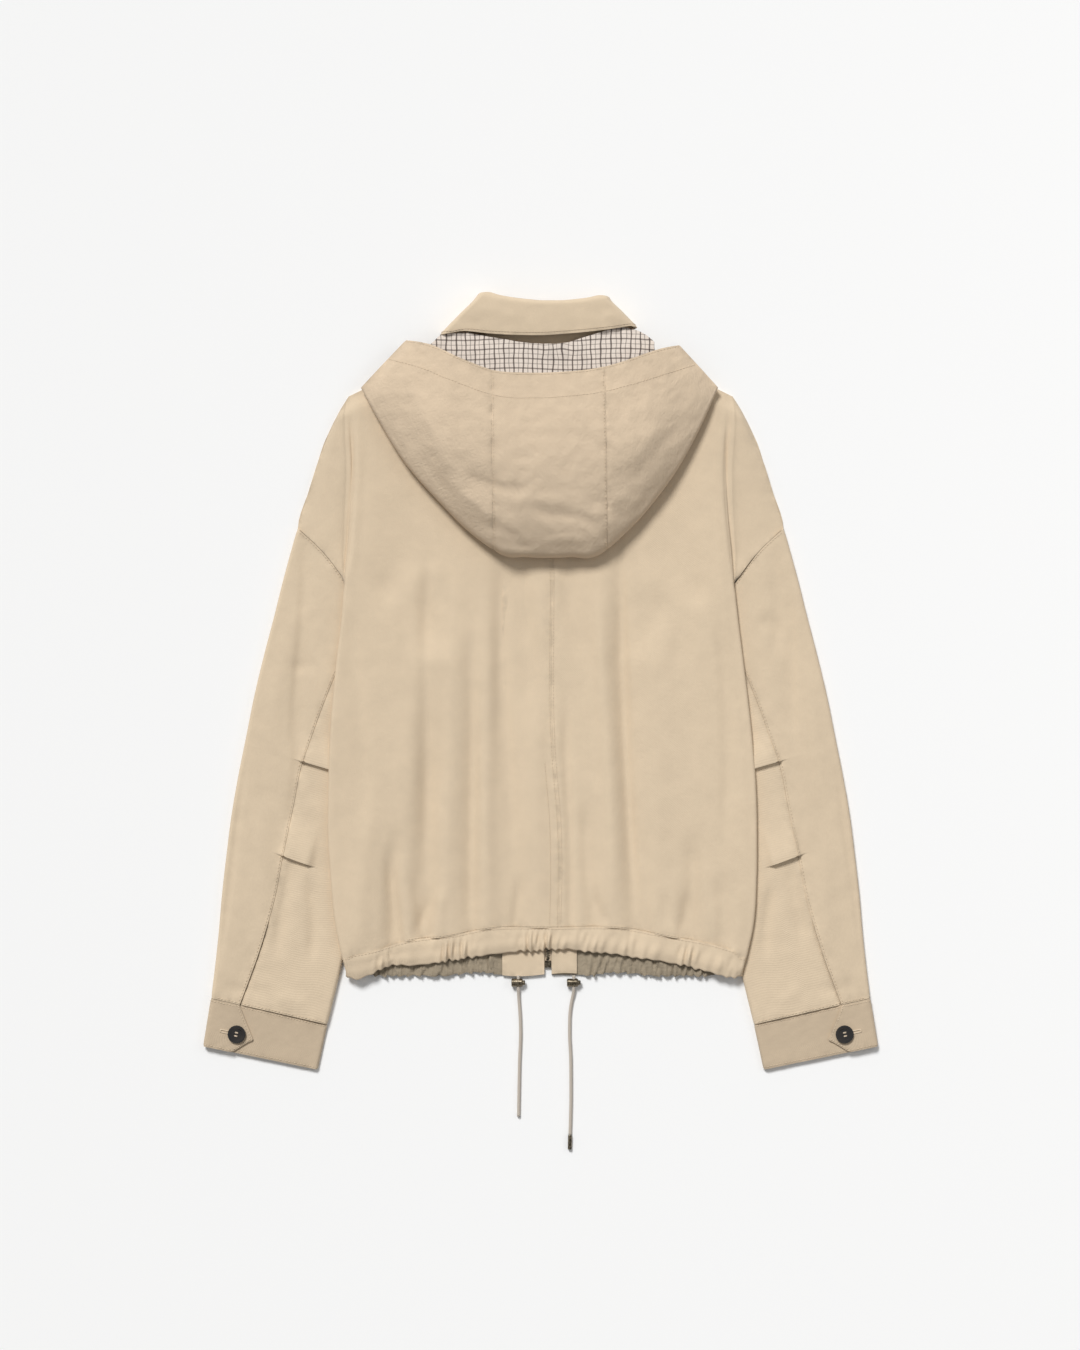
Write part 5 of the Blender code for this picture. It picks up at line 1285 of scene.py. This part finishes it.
def collar_side(sign, front, leaf_end, corner, reach, heights, curve=1.0):
    """From a front end to the side of the neck and round it, up to the height of the back."""
    back_z, front_z = heights
    points = []
    for step in (0.0, 0.4, 0.8):
        points.append((mix(front[0], leaf_end[0], step), mix(front[1], leaf_end[1], step**curve), front_z))
    for angle in (150, 120, 90, 60, 30):
        x = corner[0] - sign * reach * (1 - sin(radians(angle)))
        points.append((x, corner[1], mix(front_z, back_z, (1 + cos(radians(angle))) / 2)))
    return points


def collar_ring(share, inset, side_inset, *heights):
    """Round the neck: front end, left side, across the back, right side, front end."""
    corners, sides = [], []
    for sign, places in COLLAR_SIDES.items():
        corners.append(mix(*np.array(places), share) - (sign * side_inset, inset))
        end = mix(*np.array(LEAF_END), share)
        front = (ZIP_X + sign * end[0], end[1] - inset)
        sides.append(collar_side(sign, front, corners[-1] - (sign * 6, 0), corners[-1], 6, heights))
    left, right = corners
    back = []
    for across in COLLAR_ACROSS:
        x = mix(left[0] + 6, right[0] - 6, across)
        y = mix(roll_y(x) - inset, collar_edge_y(x), share)
        ends = ease(0.12, 0.0, across) + ease(0.88, 1.0, across)
        back.append((x, mix(y, mix(left[1], right[1], across), ends), heights[0]))
    return np.array(sides[0] + back + sides[1][::-1])


def neck_ring(share, *heights):
    """The standing part of the collar, from the neckline (0) towards the roll (1)."""
    half_x, back_y, side_y, front_x, front_y = mix(*np.array(NECK_FORM), share)
    centre_x = ZIP_X - 4.0 * share
    sides = [collar_side(sign, (centre_x + sign * front_x, front_y), (centre_x + sign * (half_x - 8), side_y),
                         (centre_x + sign * half_x, side_y), 3, heights, 1.6) for sign in (-1, 1)]
    back = [(centre_x + (half_x - 6) * way, mix(back_y, side_y, way**2), heights[0])
            for way in 2 * np.array(COLLAR_ACROSS) - 1]
    return np.array(sides[0] + back + sides[1][::-1])


COLLAR_CREASES = (  # as the hood's
    (-60, 352, -20, 346, 0.6, 5, 7), (10, 356, 60, 352, -0.5, 6, 6), (-30, 362, 30, 356, 0.5, 5, 5),
    (-84, 344, -56, 338, -0.5, 5, 5), (60, 346, 84, 342, 0.6, 5, 5),
)

rings = [neck_ring(*ring) for ring in NECK_RINGS] + [collar_ring(*ring) for ring in COLLAR_RINGS]
grid = refine(refine(rings, 2.6, 0), 3.0, 1)
grid = raised(grid, lambda x, y: crease_field(COLLAR_CREASES, x, y) + 0.35 * slow_waves(x, y, 3.0, 26.0))
collar_fine = sewn_edges(grid, ("last_row",), dip=0.5, pucker=0.14)
cloth("collar", collar_fine, WALL, SHELL)

# %% [markdown]
# ## Gathered hem casings
#
# The hem is a separate band, sewn to the body and gathered on the cord that runs in it. Its ridges
# are uneven: some run the whole height, others start at the seam and fade. The ridges swell in the
# middle of the band, where the cord lies, and tuck under at its edge.
#
# %% Gathers of the back and front casings
BACK_HEM_EDGE = (  # x, y
    (-192, -271), (-184.5, -278), (-176, -282.3), (-165, -279), (-150, -271.5), (-117, -269), (-90, -265),
    (-60, -260.5), (-20, -256), (12, -253.5), (56, -257), (100, -263), (130, -268), (160, -275),
    (174, -279), (185, -281), (191.5, -277.5), (198, -270),
)
HEM_CORNERS = ((-188.6, -184.2), (195.6, 191.2))   # x of the casing's ends, at its seam and its edge
HEM_END_RADIUS = 2.7
CASING_TOP_Y = -245.0     # the casing leaves the back at the height that the back has here
CASING_EDGE_Z = 8.6
FRONT_HEM_EDGE_Y = -279.0
HEM_HALF_WIDTH = 166.0
back_hem_y = through(BACK_HEM_EDGE)
FACING_WIDTH = {-1: 40.0, 1: 24.0}
FRONT_GATHERS = 17
FRONT_PLACES = np.arange(2 * FRONT_GATHERS + 1)
FRONT_SWELL = (   # share of the band's depth, how strongly it is crushed there
    (0.0, 0.1), (0.15, 0.35), (0.35, 0.8), (0.55, 1.1), (0.75, 0.9), (0.9, 1.2), (1.0, 1.0),
)
casing_strength = through(((0.0, 0.05), (0.25, 0.25), (0.5, 0.7), (0.8, 1.0), (1.0, 0.85)))
casing_sag = through(((0.0, 0.1), (0.3, 0.5), (0.75, 0.7), (1.0, -0.9)))


def casing_end(row, sign):
    """Turns a row's last point under, as the casing wraps round the side."""
    x, y, z = row[-1]
    turned = arc(x, z - HEM_END_RADIUS, HEM_END_RADIUS, (30, 60, 90, 120, 150), sign)
    row += [(across, y, height) for across, height in turned]
    row.append((x - sign * 4.0, y, z - 2 * HEM_END_RADIUS))


def back_casing_grid():
    """The gathered band below the back, from its seam over its edge and back inside it."""
    places = np.linspace(0, GATHER_PLACES[-1], 4 * len(GATHER_PLACES))
    rows = []
    for share in np.linspace(0, 1, 19):
        left, right = (mix(*corner, share) for corner in HEM_CORNERS)
        left, right = left + HEM_END_RADIUS, right - HEM_END_RADIUS
        row = []
        for place, x in zip(places, np.interp(places, GATHER_PLACES, gather_places(left, right))):
            tight = float(gathering(x))
            wave = float(wave_between(place, 0.3)) * (0.3 + 0.7 * tight)
            from_end = min(x - left, right - x)
            lean = 0.8 + 0.75 * sin(place * 1.1 + 2.2 * share)
            fine = sin(place * 2.9 + 2.0 * sin(place * 0.37) + 3 * share) * tight * sin(pi * share) ** 2
            notch = max(0.0, sin(place * 0.83 + 1.2 * sin(place * 0.29))) * tight
            y = mix(hem_line(x) - 0.25, back_hem_y(x) - 2.2 * wave + 1.2 * notch, share)
            edge_z = CASING_EDGE_Z + 3.8 * ease(40, 14, from_end)
            height = mix(back_height(x, CASING_TOP_Y), edge_z, share) + casing_sag(share)
            swell = 2.9 * casing_strength(share) * wave * lean + 0.6 * fine
            row.append((x, y, height + swell * (1 - ease(14, 0, from_end))))
        casing_end(row, 1)
        row.reverse()
        casing_end(row, -1)
        rows.append(row)
    edge = np.array(rows[-1])
    rows += [edge + (0, back, -drop) for back, drop in ((-0.5, 0.7), (-0.2, 1.5), (2.0, 1.9), (7.0, 1.9))]
    return np.array(rows)


def front_casing_grid(side):
    """The front's band, plain near the zip and crushed into uneven folds beyond its facing."""
    start = side * ZIP_X + ZIP_CHANNEL
    ridges = np.linspace(start, HEM_HALF_WIDTH, len(FRONT_PLACES)) + 2.6 * np.sin(2.4 * FRONT_PLACES + side)
    x = np.arange(start, HEM_HALF_WIDTH, 1.0)
    flat = ease(FACING_WIDTH[side] + 1, FACING_WIDTH[side] + 12, x - start)
    crushed = 3.4 * ease(34, 60, x - start) * ease(100, 60, x - start)
    rows = []
    for share, swell in FRONT_SWELL:
        places = [np.interp(place, ridges, FRONT_PLACES) for place in x + 5 * np.sin(3 * share + x / 15)]
        wave = wave_between(np.array(places), 1.9) * flat
        fine = (0.7 * np.sin(x * 1.3 + 5 * share) + 0.5 * np.sin(x * 2.3 - 4 * share)) * flat * share
        fall = FRONT_HEM_EDGE_Y - FRONT_HEM_SEAM_Y - (2.2 * wave - crushed) * flat
        height = 3.3 * wave * swell + fine + CUFF_CLOTH + 0.7 * flat * share
        rows.append(np.stack([x, FRONT_HEM_SEAM_Y - SEAM_GAP + fall * share, height], axis=1))
    return mirrored(rows, side)


grid = refine(back_casing_grid(), 1.6, 0)
casing_fine = sewn_edges(grid, ("first_row",), dip=0.15, pucker=0.1, reach=0.3)
cloth("back_hem_casing", casing_fine, CASING_WALL, SHELL)
front_casings = {}
for side, label in SIDES:
    front_casings[side] = refine(front_casing_grid(side), 2.2, 0)
    # The front casings take the twill with painted shade, dark as the shadow under the back's casing.
    cloth("front_hem_casing_" + label, front_casings[side], WALL, HEM_SHADE_TWILL)

# %% [markdown]
# ## Facings and the zip
#
# Behind the zip a facing covers its tapes. The two facings end at the hem, where a few teeth and the
# zip's stop show between them. Metal teeth are pressed on the tapes 2.3 mm apart, left and right in
# turn; each has the form of a small block with a rounded head.
#
# %% Facings, tapes and teeth
FACING_BASE = 2.8     # leaves room for the zip's tape between the front and its facing
FACING_THICK = 1.0
ZIP_ROWS = (-250, -100, 50, 185, 205, 225, 232, 256)
FACING_GAP = 0.8      # between the teeth and a facing's edge
TEETH_WIDTH = 5.4
TEETH_THICK = 2.2
TEETH_BASE = 0.4
TEETH_ENDS = (-264.5, 231.0)      # y
TOOTH_PITCH = 2.3     # on one tape; the teeth of the other lie between them
TOOTH = (2.6, 0.95, TEETH_THICK)
TOOTH_OFF = 0.6       # from the zip's middle to a tooth's middle
BOTTOM_STOP = ((ZIP_X, -269.0, 1.9), (5.6, 6.6, 2.9))
TAPE_STEP = 5.0
TAPE = (2.2, TAPE_STEP + 0.1, 0.8)


def facing_grid(side):
    """The upper face of a facing, along the front's edge from the hem to the neck."""
    start = ZIP_X + side * (TEETH_WIDTH / 2 + FACING_GAP)
    xs = np.linspace(start, start + side * FACING_WIDTH[side], 8)
    rows = [[(x, y, FACING_BASE + FACING_THICK + neck_lift(x, y)) for x in xs]
            for y in (FRONT_HEM_EDGE_Y + 0.5, *ZIP_ROWS)]
    grid = np.array(rows)
    grid[0, :, 1] += (-2.2 if side < 0 else 0.8) * np.sin(np.linspace(0.1, 2.6, 8))
    return grid


for side, label in SIDES:
    grid = refine(refine(facing_grid(side), 5.0, 0), 4.0, 1)
    grid[..., 2] += 0.25 * slow_waves(grid[..., 0], grid[..., 1], side + 2.0, 20.0) + 0.1
    cloth("zip_facing_" + label, grid, THIN_WALL, SHELL)


def blocks(name, boxes, finish, instead=None, bevel=0.0):
    """One mesh of small blocks; each has a middle and a size."""
    bm = bmesh.new()
    for middle, size in boxes:
        for vert in bmesh.ops.create_cube(bm, size=1.0)["verts"]:
            vert.co = Vector([middle[k] + vert.co[k] * size[k] for k in range(3)]) * MM
    piece = add_piece(name, mesh_of(bm, name), finish, instead)
    if bevel:
        rounding = piece.modifiers.new("Rounded", "BEVEL")
        rounding.width = bevel * MM
        rounding.segments = 2


teeth = []
for i, y in enumerate(np.arange(*TEETH_ENDS, TOOTH_PITCH / 2)):
    rise = TEETH_BASE + TEETH_THICK / 2 + neck_lift(ZIP_X, y)
    teeth.append(((ZIP_X + (TOOTH_OFF if i % 2 else -TOOTH_OFF), y, rise), TOOTH))
blocks("zip_teeth_metal", teeth + [BOTTOM_STOP], BRASS, "zip_teeth", bevel=0.18)
tapes = [((ZIP_X + side * 2.3, y, TEETH_BASE + 1.3 + neck_lift(ZIP_X, y)), TAPE)
         for side in (-1, 1) for y in np.arange(-270.0, 229.0, TAPE_STEP)]
blocks("zip_tapes", tapes, CUFF)
print(len(teeth), "teeth")

# %% [markdown]
# ## Sewing
#
# Topstitches are short raised threads with a gap between them. Each line of sewing follows a piece's
# edge at a fixed distance on the cloth, so it dips and rises with the puckers that it makes.
#
# %% Rows of topstitching
STITCH = {"pitch": 3.3, "length": 2.4, "radius": 0.34}
SHORT_STITCH = {"pitch": 2.9, "length": 2.1, "radius": 0.34}
BUTTON_STITCH = {"pitch": 3.4, "length": 3.4, "radius": 0.36}
BESIDE_SEAM = 1.7      # from a seam to its row of stitches
BESIDE_GATHERS = 1.6
BESIDE_EDGE = 3.0      # from a finished edge
HOOD_ROWS = (1.8, 25.0)   # from the hood's opening
STITCH_FORM = (  # along the stitch, width, lift
    (-0.5, 0.35, 0.1), (-0.28, 1.0, 0.22), (0.28, 1.0, 0.22), (0.5, 0.35, 0.1),
)


def at_run(wanted, run, rows):
    """The place on a line of points, or its normal, at a distance along it."""
    return np.array([np.interp(wanted, run, rows[:, k]) for k in range(3)])


def edge_line(grid, side, distance, first=0.0, last=1.0):
    """Points and normals on the cloth at a distance from one edge of a grid."""
    normals = outward(grid)
    if "row" in side:
        grid, normals = grid.transpose(1, 0, 2), normals.transpose(1, 0, 2)
    if "last" in side:
        grid, normals = grid[:, ::-1], normals[:, ::-1]
    run = run_along(grid, 1)
    wanted = range(int(first * (len(grid) - 1)), int(last * (len(grid) - 1)) + 1)
    return [np.array([at_run(distance, run[i], rows[i]) for i in wanted]) for rows in (grid, normals)]


def sewing(name, lines, pitch, length, radius):
    """One mesh of stitches along several lines; a stitch is a six-sided thread with narrow ends."""
    turns = np.linspace(0, 2 * pi, 6, endpoint=False)
    vertices, faces = [], []
    for points, normals in lines:
        run = run_along(points)
        for middle in np.arange(pitch / 2, run[-1] - pitch / 2, pitch):
            a, b, c = (at_run(middle + d, run, points) for d in (-length / 2, 0, length / 2))
            up = at_run(middle, run, normals)
            up /= np.linalg.norm(up)
            ahead = (c - a) / np.linalg.norm(c - a)
            wide = np.cross(ahead, up)
            base = len(vertices)
            for place, width, lift in STITCH_FORM:
                centre = b + ahead * place * length + up * lift
                for turn in turns:
                    vertices.append((centre + width * radius * (cos(turn) * wide + sin(turn) * up)) * MM)
            for ring in range(base, base + 18, 6):
                for k in range(6):
                    m = (k + 1) % 6
                    faces.append((ring + k, ring + m, ring + 6 + m, ring + 6 + k))
            faces.append(tuple(range(base + 5, base - 1, -1)))
            faces.append(tuple(range(base + 18, base + 24)))
    mesh = bpy.data.meshes.new(name)
    mesh.from_pydata(vertices, [], faces)
    mesh.shade_smooth()
    add_piece(name, mesh, THREAD)
    print(name, len(faces) // 20, "stitches")


lines = [edge_line(BACKS[side], "first_column", BESIDE_SEAM) for side in (-1, 1)]
lines.insert(1, edge_line(BACKS[-1], "first_column", 9.0, last=0.3))
lines += [edge_line(grid, "first_row", BESIDE_GATHERS, last=0.45) for grid in BACKS.values()]
sewing("back_sewing", lines, **STITCH)
lines = []
for side in (-1, 1):
    top, under = sleeve_grids[side, "top"], sleeve_grids[side, "under"]
    lines += [edge_line(top, "first_row", 1.8, last=0.5), edge_line(top, "first_column", BESIDE_SEAM),
              edge_line(top, "last_row", 1.6, last=0.45), edge_line(under, "last_row", 1.6, last=0.5)]
sewing("sleeve_sewing", lines, **STITCH)
sewing("cuff_sewing", [edge_line(grid, place, 2.2) for grid in cuff_grids.values()
                       for place in ("first_row", "last_row", "first_column")], **SHORT_STITCH)
lines = [edge_line(hood_grids["hood_centre"], place, BESIDE_SEAM) for place in ("first_row", "last_row")]
lines += [edge_line(grid, "first_column", distance) for grid in hood_grids.values()
          for distance in HOOD_ROWS]
sewing("hood_sewing", lines, **STITCH)
lines = [edge_line(collar_fine, "last_row", BESIDE_EDGE)]
lines += [edge_line(collar_fine, place, BESIDE_EDGE, first=0.4) for place in ("first_column", "last_column")]
sewing("collar_sewing", lines, **SHORT_STITCH)
lines = [edge_line(casing_fine, "first_row", BESIDE_GATHERS)]
lines += [edge_line(grid, "last_column", BESIDE_EDGE) for grid in front_casings.values()]
sewing("hem_sewing", lines, **STITCH)

# %% [markdown]
# ## Buttons and buttonholes
#
# The buttons are turned from dark polished stock, with a raised rim and four holes, sewn on with two
# pale bars of thread. Each buttonhole is a slot bound with close thread; its outer end shows beyond
# the button.
#
# %% Button holes, bars of thread and bound slots
BUTTON_SHARE = 0.61    # the button's share of the cuff's length
HOLE_SPREAD = 1.6      # from the button's middle to each hole, both ways
HOLE = (1.3, 1.3, 0.12)
BUTTON_RIM = 0.62
THREAD_BAR = ((-1.9, -0.2), (-1.2, 0.25), (1.2, 0.25), (1.9, -0.2))     # along the bar, rise
SLOT = (16.0, 2.4)     # length and width of a buttonhole with its binding
SLOT_OUT = 8.0         # from the button's middle to the buttonhole's
CUFF_FACE_Z = 5.5      # the cuff's upper face lies above this height


def slot_binding(name, middle, along, across, height):
    """A flat oval of binding thread round a buttonhole."""
    points = []
    for turn in np.linspace(0, 2 * pi, 40):
        run = np.clip(cos(turn) * 0.62, -0.5, 0.5) * SLOT[0]
        off = np.sign(sin(turn)) * min(abs(sin(turn)) * 1.6, 1.0) * SLOT[1] / 2
        points.append((*(middle + along * run + across * off), height))
    add_piece(name, tube(name, np.array(points), 0.55, 8), THREAD)


for side, label in SIDES:
    low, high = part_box("button_" + label)
    middle = np.array((low + high) / 2) / MM
    start, end = cuff_ends(BUTTON_SHARE)
    along = (end - start) / np.linalg.norm(end - start) * (side, 1)
    across = np.array([-along[1], along[0]])
    top = middle[2] + BUTTON_RIM

    def on_button(run, off, height):
        return (*(middle[:2] + along * run + across * off), top + height)

    holes = [(on_button(a, b, -0.1), HOLE) for a in (-HOLE_SPREAD, HOLE_SPREAD)
             for b in (-HOLE_SPREAD, HOLE_SPREAD)]
    blocks("button_holes_" + label, holes, HORN)
    bars = [[np.array([on_button(run, row + lean, rise) for run, rise in THREAD_BAR]),
             np.tile((0, 0, 1.0), (len(THREAD_BAR), 1))]
            for row in (-HOLE_SPREAD, HOLE_SPREAD) for lean in (-0.35, 0.35)]
    sewing("button_thread_" + label, bars, **BUTTON_STITCH)
    outer = middle[:2] - along * SLOT_OUT
    faces = cuff_grids[side][cuff_grids[side][..., 2] > CUFF_FACE_Z]
    nearest = faces[np.argsort(np.linalg.norm(faces[:, :2] - outer, axis=1))[:12]]
    slot_binding("buttonhole_" + label, outer, along, across, nearest[:, 2].max() + 0.1)

# %% [markdown]
# ## Metal and horn
#
# The hard pieces keep their solid form, and take a plating with darker and brighter patches.
#
# %% Finishes of the hard pieces
HARD = {"button_left": HORN, "button_right": HORN, "cord_lock_left": BRASS, "cord_lock_right": BRASS,
        "cord_tip": BRASS, "zip_slider": BRASS, "zip_pull": BRASS}
for node, finish in HARD.items():
    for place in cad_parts[node].material_slots:
        place.material = finish
print("finished", len(HARD), "hard pieces")

# %% [markdown]
# ## Surface and light
#
# A product photograph has a pale, nearly white surface and soft light. A large light from the upper
# left gives the folds a bright and a dark side; a weaker one opposite keeps the shadows open.
#
# %% Floor and lamps
FLOOR_REACH = 30.0     # metres, so that no low view sees its end
FLOOR_Z = -0.0003      # just below the garment, so that the two don't share a plane
FILL_PLACE = (1.9, 0.6, 1.7)
corners = [(x * FLOOR_REACH, y * FLOOR_REACH, FLOOR_Z) for x, y in ((-1, -1), (1, -1), (1, 1), (-1, 1))]
floor_mesh = bpy.data.meshes.new("floor")
floor_mesh.from_pydata(corners, [], [(0, 1, 2, 3)])
paper = bpy.data.materials.new("Pale surface")
paper.use_nodes = True
surface = paper.node_tree.nodes["Principled BSDF"].inputs
surface["Base Color"].default_value = (0.93, 0.93, 0.925, 1)
surface["Roughness"].default_value = 0.9
floor_mesh.materials.append(paper)


def staged(name, data):
    """Puts the floor or a lamp on the stage."""
    piece = bpy.data.objects.new(name, data)
    scene.collection.objects.link(piece)
    return piece


def lamp(name, kind, energy, towards):
    """A lamp that shines from the side that the arrow points to."""
    data = bpy.data.lights.new(name, kind)
    data.energy = energy
    light = staged(name, data)
    light.rotation_euler = Vector(towards).to_track_quat("Z", "Y").to_euler()
    return light


staged("floor", floor_mesh)
lamp("key light", "SUN", 2.75, (-0.27, 0.62, 0.735)).data.angle = radians(17)
fill = lamp("fill light", "AREA", 5, FILL_PLACE)
fill.location = FILL_PLACE
fill.data.shape = "DISK"
fill.data.size = 1.2
world = bpy.data.worlds.new("Soft room")
world.use_nodes = True
room_light = world.node_tree.nodes["Background"].inputs
room_light["Color"].default_value = (1, 1, 1, 1)
room_light["Strength"].default_value = 0.31
scene.world = world
scene.view_settings.view_transform = "Standard"
print("floor and 2 lamps")
